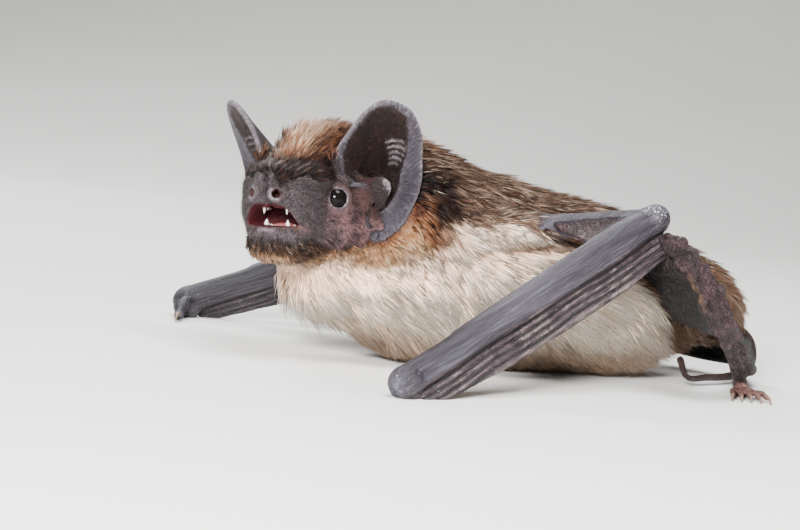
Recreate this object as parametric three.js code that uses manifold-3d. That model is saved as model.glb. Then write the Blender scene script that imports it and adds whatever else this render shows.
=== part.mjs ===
// A parti-coloured bat (Vespertilio murinus) crouched on all fours, life size.
// Millimetres, +Z up. The bat faces -Y and its left side is +X.
import * as THREE from 'three';
import { mergeVertices } from 'three/addons/utils/BufferGeometryUtils.js';
import Module from 'manifold-3d';

const wasm = await Module();
wasm.setup();

// ---- driving dimensions -------------------------------------------------------------------

const GAP = 0.3;                // clearance between neighbouring parts
const EYE_GAP = 0.15;           // clearance round each eyeball
const MEMBRANE = 0.6;           // thickness of the wing and tail skin
const BIG = 90;                 // larger than the whole animal
const WELD = 0.02;              // points nearer than this on one part become one point

// Trunk outline to the tips of the fur: place along Y, height of the middle, half width, half height.
const TRUNK = [
  { y: -22.2, z: 11.9, wide: 2.4, high: 1.9 },
  { y: -20.2, z: 12.2, wide: 6.2, high: 5.2 },
  { y: -16.0, z: 13.6, wide: 8.7, high: 9.2 },
  { y: -11.0, z: 14.3, wide: 9.9, high: 12.0 },
  { y: -5.0, z: 13.1, wide: 10.8, high: 12.6 },
  { y: 4.0, z: 11.8, wide: 11.3, high: 11.3 },
  { y: 13.0, z: 10.9, wide: 11.2, high: 10.4 },
  { y: 21.0, z: 10.4, wide: 10.0, high: 9.0 },
  { y: 28.5, z: 9.8, wide: 7.6, high: 6.6 },
  { y: 33.8, z: 8.6, wide: 5.2, high: 4.7 },
  { y: 36.6, z: 7.4, wide: 2.2, high: 2.0 },
];
const SAG = 0.8;                // 1 is a round underside, less is flatter and wider
const TRUNK_RINGS = 16;
const TRUNK_SIDES = 18;

// Head frame: the middle of the line between the eyes, and how the head is turned.
const HEAD = { x: 3.5, y: -20.6, z: 18.2, yaw: 38, pitch: 1, roll: 4.3 };

// Head outline: place along the head, half width, top and bottom, and how far the ring leans back
// below the eye line, so that the chin lies behind the nose.
const SKULL = [
  { f: -12.0, wide: 2.4, top: 2.2, bottom: -4.2, rake: 0 },
  { f: -10.6, wide: 5.2, top: 5.8, bottom: -6.8, rake: 0 },
  { f: -8.0, wide: 7.0, top: 8.2, bottom: -8.2, rake: 0 },
  { f: -5.0, wide: 7.4, top: 9.0, bottom: -8.8, rake: 0 },
  { f: -2.2, wide: 6.8, top: 8.6, bottom: -8.7, rake: 0.02 },
  { f: -0.3, wide: 5.5, top: 7.4, bottom: -8.5, rake: 0.06 },
  { f: 1.5, wide: 5.0, top: 5.3, bottom: -8.3, rake: 0.1 },
  { f: 3.3, wide: 4.9, top: 3.7, bottom: -8.0, rake: 0.14 },
  { f: 5.2, wide: 4.7, top: 2.9, bottom: -7.6, rake: 0.18 },
  { f: 6.8, wide: 3.9, top: 2.3, bottom: -6.8, rake: 0.2 },
  { f: 7.7, wide: 2.4, top: 1.4, bottom: -4.6, rake: 0.2 },
];
const SKULL_MIDDLE = 0.52;      // widest level of the head, as a share of its height from the top
const BOXINESS = 0.86;          // 1 is a round head section, less is squarer
const SKULL_RINGS = 14;
const SKULL_SIDES = 19;

const EYE = { f: 0.5, l: 4.5, u: -0.25, radius: 1.35 };
const NOSTRIL = { f: 7.2, l: 1.5, u: 0.5, radius: 1.0, hole: 0.42, depth: 0.85 };
const MOUTH = { f: 5.2, u: -2.6, length: 3.6, halfWidth: 3.4, halfHeight: 1.5 };
// The lower jaw lies below this line, seen from the side, and parts from the head there.
const LIP_LINE = { front: { f: 12, u: -3.95 }, corner: { f: 1.2, u: -3.7 }, back: { f: -10.6, u: -10.5 } };
const TONGUE = { f: 4.6, u: -3.4, length: 1.9, halfWidth: 1.1, halfHeight: 0.3 };
const TOOTH = { height: 1.5, radius: 0.34, l: 1.45, upper: { f: 6.1, u: -1.0 }, lower: { f: 5.4, u: -4.3 } };

// Rim of the left ear, in the head frame (f forward, l left, u up), from the tip down the outer
// edge, along the lobe below the cheek, through the ear canal and up the front edge.
const EAR_RIM = [
  [-0.5, 9.6, 10.7], [-2.8, 11.3, 9.9], [-4.7, 11.7, 7.6], [-5.9, 11.3, 4.6], [-6.5, 10.9, 1.6],
  [-5.8, 10.1, -1.4], [-4.4, 8.9, -3.8], [-3.0, 7.6, -4.7], [-2.4, 6.6, -3.6], [-3.0, 6.3, -0.6],
  [-1.8, 6.4, 1.2], [0.2, 5.9, 1.4], [1.6, 4.9, 2.9], [1.6, 5.0, 4.8], [0.9, 6.3, 7.4],
  [0.4, 8.0, 9.6],
];
const EAR_CANAL = [-5.2, 6.6, 1.4];
const TRAGUS = [[-5.0, 6.9, -1.2], [-3.9, 7.5, 0.6], [-3.1, 7.9, 2.2]];  // root to tip, before the canal
const EAR_OUT = [0.83, 0.55, -0.08];  // the way the ear opens
const EAR_DEPTH = 1.7;
const EAR_WALL = 0.85;
const EAR_SPOKES = 18;
const EAR_REACHES = [0.12, 0.45, 0.75, 0.94];  // rings of the bowl, from the canal to the rim
// Each ear's own pose: degrees turned to the front, shift outward, and more outward for each mm up.
const EAR_POSE = { left: { turn: 0, shift: 0, lean: 0 }, right: { turn: 12, shift: 1.6, lean: 0.1 } };

// Joints of each side: the limbs run between them.
const SIDES = {
  left: {
    sign: 1,
    shoulder: [7.0, -3.5, 15.5], elbow: [14.2, 16.8, 19.2], wrist: [27.6, -15.2, 1.7],
    hip: [6.0, 28.0, 9.6], knee: [18.2, 23.2, 10.6], ankle: [11.6, 31.4, 1.3], toes: [1.0, -0.3],
    thumb: [-0.97, 0.2],
  },
  right: {
    sign: -1,
    shoulder: [-7.0, -5.5, 15.5], elbow: [-15.0, 12.0, 18.8], wrist: [-28.0, -24.0, 2.2],
    hip: [-6.0, 28.0, 9.6], knee: [-18.0, 22.4, 10.2], ankle: [-12.6, 30.8, 1.3], toes: [-0.93, 0.3],
    thumb: [0.9, -0.44],
  },
};
const FINGERS = { count: 4, first: 2.0, spacing: 0.75, thick: 0.55, skin: 0.3 };  // below the forearm
const BLADE_FACE = [0.936, -0.341, 0.087];  // the way the folded wing's outer face looks, on the left
const TOE_SPREAD = [-0.6, -0.3, 0, 0.3, 0.6];
const SPUR = 1.0;               // thickness of the tail skin's free edge
const TAIL = [
  [0, 34.5, 6.6], [0.3, 37.9, 4.6], [1.4, 38.0, 2.2], [4.0, 34.6, 1.1], [6.8, 29.6, 1.0],
  [8.9, 25.8, 1.3], [9.3, 24.6, 3.2],
];

// ---- materials ------------------------------------------------------------------------------

const look = (color, roughness) => new THREE.MeshStandardMaterial({ color, roughness, metalness: 0 });
const BACK_FUR = look(0x7a5a44, 0.9);
const BELLY_FUR = look(0xd9c7ae, 0.9);
const FACE_SKIN = look(0x2d2425, 0.6);
const EAR_SKIN = look(0x2a2628, 0.55);
const WING_SKIN = look(0x45414a, 0.5);
const MEMBRANE_SKIN = look(0x3a2c2f, 0.6);
const TOE_SKIN = look(0x8a6467, 0.6);
const EYE_BLACK = look(0x060607, 0.08);
const TONGUE_PINK = look(0x8e3f45, 0.4);
const CLAW_HORN = look(0x4d4038, 0.4);

// ---- solids ---------------------------------------------------------------------------------

const vec = (p) => new THREE.Vector3(...p);

function solid(geometry) {
  const bare = geometry.clone();
  bare.deleteAttribute('normal');
  bare.deleteAttribute('uv');
  const merged = mergeVertices(bare, 1e-4);
  const vertProperties = new Float32Array(merged.attributes.position.array);
  const triVerts = new Uint32Array(merged.index.array);
  return new wasm.Manifold(new wasm.Mesh({ numProp: 3, vertProperties, triVerts }));
}

// The faces with the ends of every very short edge made one, and without the faces that this flattens.
function weldedFaces(points, faces) {
  const owner = points.map((_, index) => index);
  const root = (index) => (owner[index] === index ? index : root(owner[index]));
  for (const [a, b, c] of faces) {
    for (const [from, to] of [[a, b], [b, c], [c, a]].map((edge) => edge.map(root))) {
      if (from !== to && points[from].distanceTo(points[to]) < WELD) owner[Math.max(from, to)] = Math.min(from, to);
    }
  }
  const kept = new Map();
  for (const face of faces.map((corners) => corners.map(root))) {
    const key = face.toSorted((a, b) => a - b).join();
    if (new Set(face).size === 3 && !kept.delete(key)) kept.set(key, face);
  }
  return [...kept.values()];
}

function geometryOf(manifold) {
  const { vertProperties, triVerts } = manifold.getMesh();
  const attribute = new THREE.BufferAttribute(vertProperties, 3);
  const points = steps(0, attribute.count - 1, attribute.count)
    .map((index) => new THREE.Vector3().fromBufferAttribute(attribute, index));
  const faces = steps(0, triVerts.length / 3 - 1, triVerts.length / 3)
    .map((index) => [...triVerts.subarray(3 * index, 3 * index + 3)]);
  const geometry = new THREE.BufferGeometry();
  geometry.setAttribute('position', attribute);
  geometry.setIndex(weldedFaces(points, faces).flat());
  geometry.computeVertexNormals();
  return geometry;
}

function volumeOf(points, faces) {
  let volume = 0;
  for (const [a, b, c] of faces) {
    volume += points[a].dot(new THREE.Vector3().crossVectors(points[b], points[c])) / 6;
  }
  return volume;
}

// One closed skin over a row of rings, each a loop of the same number of points.
function skinOver(rings) {
  const sides = rings[0].length;
  const points = rings.flat();
  const faces = [];
  const at = (ring, side) => ring * sides + (side % sides);
  for (let ring = 0; ring + 1 < rings.length; ring += 1) {
    for (let side = 0; side < sides; side += 1) {
      faces.push([at(ring, side), at(ring, side + 1), at(ring + 1, side + 1)]);
      faces.push([at(ring, side), at(ring + 1, side + 1), at(ring + 1, side)]);
    }
  }
  for (const ring of [0, rings.length - 1]) {
    const middle = new THREE.Vector3();
    rings[ring].forEach((point) => middle.addScaledVector(point, 1 / sides));
    points.push(middle);
    for (let side = 0; side < sides; side += 1) {
      const face = [points.length - 1, at(ring, side + 1), at(ring, side)];
      faces.push(ring === 0 ? face : face.reverse());
    }
  }
  if (volumeOf(points, faces) < 0) faces.forEach((face) => face.reverse());
  const geometry = new THREE.BufferGeometry().setFromPoints(points);
  geometry.setIndex(faces.flat());
  return solid(geometry);
}

// Values of rows of numbers at any place between them, as a smooth curve through every row.
function smoothRows(rows, keys) {
  const places = new Float32Array(rows.map((row) => row[keys[0]]));
  const values = new Float32Array(rows.flatMap((row) => keys.map((key) => row[key])));
  const curve = new THREE.CubicInterpolant(places, values, keys.length, new Float32Array(keys.length));
  return (place) => {
    const found = curve.evaluate(place);
    return Object.fromEntries(keys.map((key, index) => [key, found[index]]));
  };
}

function steps(from, to, count) {
  return Array.from({ length: count }, (_, index) => from + (to - from) * index / (count - 1));
}

// A limb along a smooth curve. Each radius pair is half the width along `across` and half the depth.
function limb(path, radii, { across = [0, 0, 1], sides, rings, grow = 0 }) {
  const curve = new THREE.CatmullRomCurve3(path.map(vec), false, 'centripetal');
  const radius = (t, which) => {
    const place = t * (radii.length - 1);
    const index = Math.min(Math.floor(place), radii.length - 2);
    return THREE.MathUtils.lerp(radii[index][which], radii[index + 1][which], place - index) + grow;
  };
  const ring = (t, shrink, shift) => {
    const along = curve.getTangent(t);
    const wide = vec(across).addScaledVector(along, -vec(across).dot(along)).normalize();
    const deep = new THREE.Vector3().crossVectors(along, wide);
    const middle = curve.getPoint(t).addScaledVector(along, shift);
    return steps(0, 2 * Math.PI, sides + 1).slice(0, sides).map((angle) => middle.clone()
      .addScaledVector(wide, shrink * radius(t, 0) * Math.cos(angle))
      .addScaledVector(deep, shrink * radius(t, 1) * Math.sin(angle)));
  };
  const cap = (t, way) => ring(t, 0.6, way * 0.75 * radius(t, 1));
  return skinOver([cap(0, -1), ...steps(0, 1, rings).map((t) => ring(t, 1, 0)), cap(1, 1)]);
}

// A thin closed sheet through the points given for u and v from 0 to 1, with a thicker edge at u = 1.
function sheet(place, { across, down, edge = MEMBRANE }) {
  const at = (u, v) => {
    const e = 0.02;               // step for the slopes
    const du = place(Math.min(u + e, 1), v).sub(place(Math.max(u - e, 0), v));
    const dv = place(u, Math.min(v + e, 1)).sub(place(u, Math.max(v - e, 0)));
    return { point: place(u, v), normal: du.cross(dv).normalize() };
  };
  return skinOver(steps(0, 1, across).map((u) => {
    const row = steps(0, 1, down).map((v) => at(u, v));
    const half = (u === 1 ? edge : MEMBRANE) / 2;
    const front = row.map(({ point, normal }) => point.clone().addScaledVector(normal, half));
    const back = row.map(({ point, normal }) => point.clone().addScaledVector(normal, -half));
    return [...front, ...back.reverse()];
  }));
}

function ball(centre, size, segments) {
  const geometry = new THREE.SphereGeometry(1, ...segments);
  geometry.scale(...size);
  geometry.translate(...centre);
  return solid(geometry);
}

const joined = (solids) => solids.reduce((sum, next) => sum.add(next));
const without = (whole, ...cutters) => cutters.reduce((rest, cutter) => rest.subtract(cutter), whole);

// Everything on the far side of a plane: the side that `normal` points to.
function beyond(point, normal) {
  const geometry = new THREE.BoxGeometry(2 * BIG, 2 * BIG, BIG);
  geometry.translate(0, 0, BIG / 2);
  const upright = new THREE.Vector3(0, 0, 1);
  geometry.applyQuaternion(new THREE.Quaternion().setFromUnitVectors(upright, vec(normal).normalize()));
  geometry.translate(...point);
  return solid(geometry);
}

const aboveFloor = beyond([0, 0, 0], [0, 0, 1]);
const onFloor = (form) => form.intersect(aboveFloor);

// ---- trunk ----------------------------------------------------------------------------------

const trunkAt = smoothRows(TRUNK, ['y', 'z', 'wide', 'high']);

function trunkForm(grow = 0) {
  return skinOver(steps(TRUNK[0].y, TRUNK.at(-1).y, TRUNK_RINGS).map((y) => {
    const { z, wide, high } = trunkAt(y);
    return steps(0, 2 * Math.PI, TRUNK_SIDES + 1).slice(0, TRUNK_SIDES).map((angle) => {
      const [sine, cosine] = [Math.sin(angle), Math.cos(angle)];
      const out = sine < 0 ? Math.sign(cosine) * Math.abs(cosine) ** SAG : cosine;
      return new THREE.Vector3((wide + grow) * out, y, z + (high + grow) * sine);
    });
  }));
}

// ---- head -----------------------------------------------------------------------------------

// From the head frame (f forward, l to the animal's left, u up) to the model.
const headMatrix = (() => {
  const [yaw, pitch, roll] = [HEAD.yaw, HEAD.pitch, HEAD.roll].map(THREE.MathUtils.degToRad);
  const forward = new THREE.Vector3(Math.sin(yaw) * Math.cos(pitch), -Math.cos(yaw) * Math.cos(pitch),
    Math.sin(pitch));
  const level = new THREE.Vector3(Math.cos(yaw), Math.sin(yaw), 0);
  const upright = new THREE.Vector3().crossVectors(forward, level);
  const left = level.clone().multiplyScalar(Math.cos(roll)).addScaledVector(upright, Math.sin(roll));
  const up = upright.clone().multiplyScalar(Math.cos(roll)).addScaledVector(level, -Math.sin(roll));
  return new THREE.Matrix4().makeBasis(forward, left, up).setPosition(HEAD.x, HEAD.y, HEAD.z);
})();

const inHead = (f, l, u) => new THREE.Vector3(f, l, u).applyMatrix4(headMatrix);

function headBall({ f, l, u }, size, segments) {
  const geometry = new THREE.SphereGeometry(1, ...segments);
  geometry.scale(...size);
  geometry.translate(f, l, u);
  geometry.applyMatrix4(headMatrix);
  return solid(geometry);
}

const skullAt = smoothRows(SKULL, ['f', 'wide', 'top', 'bottom', 'rake']);

function skullForm() {
  return skinOver(steps(SKULL[0].f, SKULL.at(-1).f, SKULL_RINGS).map((f) => {
    const { wide, top, bottom, rake } = skullAt(f);
    const middle = top - SKULL_MIDDLE * (top - bottom);
    return steps(0, 2 * Math.PI, SKULL_SIDES + 1).slice(0, SKULL_SIDES).map((angle) => {
      const [sine, cosine] = [Math.sin(angle), Math.cos(angle)]
        .map((value) => Math.sign(value) * Math.abs(value) ** BOXINESS);
      const u = middle + (sine > 0 ? top - middle : middle - bottom) * sine;
      return inHead(f + rake * u, wide * cosine, u);
    });
  }));
}

function extrudedInHead(corners, halfWidth) {
  const outline = new THREE.Shape(corners.map(([f, u]) => new THREE.Vector2(f, u)));
  const geometry = new THREE.ExtrudeGeometry(outline, { depth: 2 * halfWidth, bevelEnabled: false });
  geometry.translate(0, 0, -halfWidth);
  geometry.rotateX(Math.PI / 2);
  geometry.applyMatrix4(headMatrix);
  return solid(geometry);
}

// Everything of the head below the line of the lips.
function belowLips(lift) {
  const line = Object.values(LIP_LINE).map(({ f, u }) => [f, u + lift]);
  return extrudedInHead([...line, [LIP_LINE.back.f, -BIG], [LIP_LINE.front.f, -BIG]], BIG / 2);
}

// A canine tooth: `way` is 1 where it points up and -1 where it points down.
function tooth({ f, u }, side, way) {
  const geometry = new THREE.ConeGeometry(TOOTH.radius, TOOTH.height, 5);
  geometry.rotateX(way * Math.PI / 2);
  geometry.translate(f, side * TOOTH.l, u + way * TOOTH.height / 2);
  geometry.applyMatrix4(headMatrix);
  return solid(geometry);
}

const mirrored = [1, -1];

const eyeball = (side, grow) => headBall({ ...EYE, l: side * EYE.l }, new Array(3).fill(EYE.radius + grow),
  [10, 7]);

function nose(side) {
  const { l, radius } = NOSTRIL;
  return headBall({ ...NOSTRIL, l: side * l }, [radius * 0.8, radius, radius], [8, 5]);
}

function nostrilHole(side) {
  const { f, l, u, hole, depth } = NOSTRIL;
  return headBall({ f: f + depth, l: side * (l + hole / 3), u }, [depth, hole, hole], [5, 4]);
}

// The head and lower jaw cut out of the front of the body.
function headParts(body) {
  const mouth = headBall({ ...MOUTH, l: 0 }, [MOUTH.length, MOUTH.halfWidth, MOUTH.halfHeight], [10, 6]);
  const sockets = mirrored.map((side) => eyeball(side, EYE_GAP));
  const holes = mirrored.map(nostrilHole);
  const whole = without(joined([body, ...mirrored.map(nose)]), mouth, ...holes, ...sockets);
  const upperTeeth = mirrored.map((side) => tooth(TOOTH.upper, side, -1));
  const lowerTeeth = mirrored.map((side) => tooth(TOOTH.lower, side, 1));
  return {
    head: joined([without(whole, belowLips(GAP)), ...upperTeeth]),
    lower_jaw: joined([whole.intersect(belowLips(0)), ...lowerTeeth]),
  };
}

const tongueForm = () => headBall({ ...TONGUE, l: 0 }, [TONGUE.length, TONGUE.halfWidth, TONGUE.halfHeight],
  [8, 5]);

// ---- ears -----------------------------------------------------------------------------------

const earRimCurve = new THREE.CatmullRomCurve3(EAR_RIM.map(vec), true, 'centripetal');

// A point of the ear: `reach` runs from 0 in the canal to 1 at the rim, `turn` once round the rim.
function earPoint(side, reach, turn, { back = 0, spread = 0 }) {
  const rim = earRimCurve.getPoint(turn);
  const canal = vec(EAR_CANAL);
  const point = canal.clone().lerp(rim, reach);
  point.addScaledVector(vec(EAR_OUT), -EAR_DEPTH * Math.cos(reach * Math.PI / 2) ** 0.8 - back);
  point.addScaledVector(rim.sub(canal).normalize(), spread);
  const { turn: yaw, shift, lean } = side > 0 ? EAR_POSE.left : EAR_POSE.right;
  point.sub(canal).applyAxisAngle(new THREE.Vector3(0, 0, 1), -THREE.MathUtils.degToRad(yaw)).add(canal);
  return inHead(point.x, side * (point.y + shift + lean * (point.z - canal.z)), point.z);
}

function earForm(side, { front = 0, wall = EAR_WALL, spread = 0 } = {}) {
  const turns = steps(0, 1, EAR_SPOKES + 1).slice(0, EAR_SPOKES);
  const ring = (reach, back, outward) => turns.map(
    (turn) => earPoint(side, reach, turn, { back, spread: outward }));
  return skinOver([
    ...EAR_REACHES.map((reach) => ring(reach, -front, 0)),
    ring(1, -front, spread),
    ring(1, wall, spread + 0.1),
    ...EAR_REACHES.toReversed().map((reach) => ring(reach, wall, spread)),
  ]);
}

// The ear with its bowl filled up to the rim, a little larger all round, to make room in the head.
function earBlank(side) {
  const turns = steps(0, 1, EAR_SPOKES + 1).slice(0, EAR_SPOKES);
  const ring = (reach, back) => turns.map((turn) => earPoint(side, reach, turn, { back, spread: GAP + 0.1 }));
  const lid = ring(1, -0.2);
  const middle = new THREE.Vector3();
  lid.forEach((point) => middle.addScaledVector(point, 1 / lid.length));
  const inner = lid.map((point) => point.clone().lerp(middle, 0.9));
  const outside = [1, ...EAR_REACHES.toReversed()];
  return skinOver([inner, lid, ...outside.map((reach) => ring(reach, EAR_WALL + GAP))]);
}

function tragusForm(side) {
  const path = TRAGUS.map(([f, l, u]) => inHead(f, side * l, u).toArray());
  const wide = inHead(-EAR_OUT[1], side * EAR_OUT[0], 0).sub(inHead(0, 0, 0));
  return limb(path, [[0.6, 0.4], [0.85, 0.35], [1.0, 0.35]], { across: wide.toArray(), sides: 8, rings: 4 });
}

// ---- wings ----------------------------------------------------------------------------------

const between = (from, to, share) => vec(from).lerp(vec(to), share);
const shifted = (point, ...offset) => vec(point).add(vec(offset)).toArray();

// The way the folded fingers lie from the forearm: level with the wing's blade and down to the floor.
function bladeWay({ elbow, wrist, sign }) {
  const along = vec(wrist).sub(vec(elbow)).normalize();
  const [x, y, z] = BLADE_FACE;
  const out = new THREE.Vector3(sign * x, y, z);
  return out.cross(along).multiplyScalar(sign).normalize();
}

function upperArmForm({ shoulder, elbow }, grow = 0) {
  const path = [0, 0.5, 0.94].map((share) => between(shoulder, elbow, share).toArray());
  return limb(path, [[3.0, 2.6], [2.1, 1.8], [1.8, 1.6]], { sides: 8, rings: 5, grow });
}

function forearmForm(side, grow = 0) {
  const { elbow, wrist } = side;
  const path = [elbow, between(elbow, wrist, 0.5).toArray(), wrist];
  const arm = limb(path, [[2.1, 1.7], [2.0, 1.4], [1.85, 1.3], [1.8, 1.4]],
    { across: bladeWay(side).toArray(), sides: 9, rings: 4, grow });
  const pad = ball([wrist[0], wrist[1] - 0.2, 1.5], [2.2 + grow, 2.6 + grow, 1.9 + grow], [10, 7]);
  return onFloor(arm.add(pad));
}

// Four folded fingers, bound by skin into one ridged blade under the forearm.
function fingersForm(side, grow = 0) {
  const { elbow, wrist } = side;
  const { count, first, spacing, thick, skin } = FINGERS;
  const drop = bladeWay(side);
  const aside = vec(wrist).sub(vec(elbow)).normalize().cross(drop);
  const lines = steps(first - spacing / 2, first + spacing * (count - 0.5), 2 * count + 1);
  const face = lines.map((down, index) => [down, (index % 2 ? thick : skin) + grow]);
  const section = [...face, ...face.slice(1, -1).reverse().map(([down, deep]) => [down, -deep])];
  section[0][0] -= grow;
  section[2 * count][0] += grow;
  const rings = [[0.99, 0.75], [0.72, 0.95], [0.45, 1], [0.2, 1], [0.01, 0.85]];
  return onFloor(skinOver(rings.map(([share, reach]) => section.map(([down, deep], index) => {
    const level = index === 0 || index === 2 * count ? 0 : deep;
    return between(elbow, wrist, share).addScaledVector(drop, down * reach).addScaledVector(aside, level);
  }))));
}

function thumbForm({ wrist, thumb }) {
  const [x, y] = thumb;
  const path = [shifted(wrist, x * 1.2, y * 1.2, -0.1), shifted(wrist, x * 3.6, y * 3.6, -0.2),
    [wrist[0] + x * 5.6, wrist[1] + y * 5.6, 0.75]];
  return onFloor(limb(path, [[0.85, 0.85], [0.7, 0.7], [0.6, 0.6]], { sides: 7, rings: 4 }));
}

function thumbClawForm({ wrist, thumb }) {
  const [x, y] = thumb;
  const at = (reach, z) => [wrist[0] + x * reach, wrist[1] + y * reach, z];
  const path = [at(6.55, 0.75), at(7.3, 0.7), at(7.9, 0.15)];
  return onFloor(limb(path, [[0.42, 0.3], [0.3, 0.25], [0.14, 0.12]], { sides: 5, rings: 3 }));
}

// Skin in front of the elbow, between the upper arm and the forearm.
function armMembraneForm({ shoulder, elbow, wrist }) {
  const lift = new THREE.Vector3(0, 0, 1.1);
  const place = (u, v) => between(elbow, shoulder, 0.05 + 0.7 * u)
    .lerp(between(elbow, wrist, 0.05 + 0.27 * u), v).add(lift);
  return sheet(place, { across: 5, down: 3 });
}

// The middle line of the gathered wing skin that hangs from the elbow, past the knee, to the ankle.
function gatherPath({ elbow, knee, ankle, sign }) {
  return [shifted(elbow, sign * 0.6, 1.4, -1.8), shifted(knee, sign * 1.8, -3.6, 4.2),
    shifted(knee, sign * 2.7, 0.2, -1.6), shifted(ankle, sign * 2.7, -0.9, 1.4)];
}

function gatherForm(side, grow = 0) {
  const radii = [[1.6, 0.8], [2.0, 1.0], [1.6, 0.8], [2.0, 1.0], [1.6, 0.9], [1.4, 0.9], [1.1, 0.7]];
  const across = [side.sign * 0.2, 1, 0.3];
  return onFloor(limb(gatherPath(side), radii, { across, sides: 6, rings: 6, grow }));
}

// The gathered skin, with a thin fold of it in to the flank.
function sideMembraneForm(side) {
  const curve = new THREE.CatmullRomCurve3(gatherPath(side).map(vec));
  const fold = sheet((u, v) => {
    const y = 17 + 6 * u;
    const { z, wide, high } = trunkAt(y);
    const height = THREE.MathUtils.lerp(0.55, -0.35, u);
    const out = side.sign * (wide + 0.5) * Math.sqrt(1 - height ** 2);
    const flank = new THREE.Vector3(out, y, z + high * height);
    return curve.getPoint(0.04 + 0.72 * u).lerp(flank, v);
  }, { across: 4, down: 2 });
  return gatherForm(side).add(fold);
}

// ---- legs and tail ----------------------------------------------------------------------------

function thighForm({ hip, knee }, grow = 0) {
  const path = [0, 0.5, 1].map((share) => between(hip, knee, share).toArray());
  return limb(path, [[3.2, 3.0], [2.3, 2.3], [1.6, 1.5]], { sides: 8, rings: 5, grow });
}

function shinForm({ knee, ankle }, grow = 0) {
  const path = [0.04, 0.5, 1].map((share) => between(knee, ankle, share).toArray());
  return limb(path, [[1.4, 1.4], [1.1, 1.1], [1.0, 0.95]], { sides: 8, rings: 5, grow });
}

function footForm({ ankle, toes }) {
  const along = new THREE.Vector3(toes[0], toes[1], 0).normalize();
  const aside = new THREE.Vector3(-along.y, along.x, 0);
  const at = (reach, shift, z) => vec(ankle).addScaledVector(along, reach).addScaledVector(aside, shift)
    .setZ(z).toArray();
  const sole = limb([at(-0.6, 0, 0.8), at(1.6, 0, 0.65), at(3.2, 0, 0.5)],
    [[0.9, 0.95], [1.3, 0.9], [1.75, 0.75]], { across: aside.toArray(), sides: 6, rings: 3 });
  const digits = TOE_SPREAD.map((spread) => limb([at(3.2, spread * 2.4, 0.45), at(4.7, spread * 2.9, 0.7),
    at(6.8, spread * 3.6, 0.2)], [[0.36, 0.45], [0.36, 0.4], [0.16, 0.18]],
    { across: aside.toArray(), sides: 4, rings: 2 }));
  return onFloor(joined([sole, ...digits]));
}

function tailForm(grow = 0) {
  const radii = [1.5, 1.1, 0.9, 0.8, 0.65, 0.5].map((radius) => [radius, radius]);
  return onFloor(limb(TAIL, radii, { sides: 6, rings: 10, grow, across: [1, 0.3, 0] }));
}

// Tail skin between the tail and the lower leg, thick along its free edge where the heel's spur runs.
function tailMembraneForm({ knee, ankle }) {
  const tail = new THREE.CatmullRomCurve3(TAIL.map(vec));
  const place = (u, v) => tail.getPoint(0.12 + 0.22 * u).lerp(between(knee, ankle, 0.4 + 0.45 * u), v)
    .add(new THREE.Vector3(0, 1.2, -0.5).multiplyScalar(Math.sin(Math.PI * v)));
  return onFloor(sheet(place, { across: 4, down: 4, edge: SPUR }));
}

// ---- the animal -------------------------------------------------------------------------------

const NECK_FRONT = { point: [0, -13, 16.6], normal: [0, -0.817, 0.577] };
const NECK_BACK = { point: [0, -4.5, 14.7], normal: [0, -0.917, 0.399] };
const CHEST_END = 9;
const ABDOMEN_END = 24;

const parts = new THREE.Group();

function add(name, form, material) {
  const mesh = new THREE.Mesh(geometryOf(form), material);
  mesh.name = name;
  parts.add(mesh);
}

function addBody() {
  const room = [...mirrored.map(earBlank), ...Object.values(SIDES).map((side) => upperArmForm(side, GAP))];
  const legs = Object.values(SIDES).map((side) => thighForm(side, GAP));
  const whole = without(trunkForm().add(skullForm()), ...room);
  const back = (plane, shift) => beyond(vec(plane.point).addScaledVector(vec(plane.normal), shift).toArray(),
    plane.normal);
  const { head, lower_jaw } = headParts(whole.intersect(back(NECK_FRONT, 0)));
  add('head', head, FACE_SKIN);
  add('lower_jaw', lower_jaw, FACE_SKIN);
  const pastNeck = without(whole, back(NECK_FRONT, -GAP));
  add('neck', pastNeck.intersect(back(NECK_BACK, 0)), BACK_FUR);
  const pastShoulders = without(pastNeck, back(NECK_BACK, -GAP));
  const behind = (y) => beyond([0, y, 0], [0, 1, 0]);
  add('chest', without(pastShoulders, behind(CHEST_END)), BELLY_FUR);
  const rear = without(pastShoulders, ...legs);
  add('abdomen', without(rear.intersect(behind(CHEST_END + GAP)), behind(ABDOMEN_END)), BELLY_FUR);
  add('rump', without(rear.intersect(behind(ABDOMEN_END + GAP)), tailForm(GAP)), BACK_FUR);
}

function addHeadPieces() {
  add('tongue', tongueForm(), TONGUE_PINK);
  for (const [name, side] of [['left', 1], ['right', -1]]) {
    add(`${name}_eye`, eyeball(side, 0), EYE_BLACK);
    add(`${name}_ear`, earForm(side), EAR_SKIN);
    const earRoom = earForm(side, { front: GAP, wall: 4, spread: 0.5 });
    add(`${name}_tragus`, without(tragusForm(side), earRoom), EAR_SKIN);
  }
}

function addWing(name, side) {
  const trunk = trunkForm(GAP);
  const arm = [upperArmForm(side, GAP), forearmForm(side, GAP)];
  const leg = [thighForm(side, GAP), shinForm(side, GAP)];
  add(`${name}_upper_arm`, without(upperArmForm(side), arm[1]), WING_SKIN);
  add(`${name}_forearm`, forearmForm(side), WING_SKIN);
  add(`${name}_fingers`, without(fingersForm(side), arm[1]), WING_SKIN);
  add(`${name}_thumb`, without(thumbForm(side), arm[1]), WING_SKIN);
  add(`${name}_thumb_claw`, thumbClawForm(side), CLAW_HORN);
  add(`${name}_arm_membrane`, without(armMembraneForm(side), trunk, ...arm), MEMBRANE_SKIN);
  const sideRoom = [trunk, fingersForm(side, GAP), ...arm, ...leg];
  add(`${name}_side_membrane`, without(sideMembraneForm(side), ...sideRoom), MEMBRANE_SKIN);
}

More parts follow.
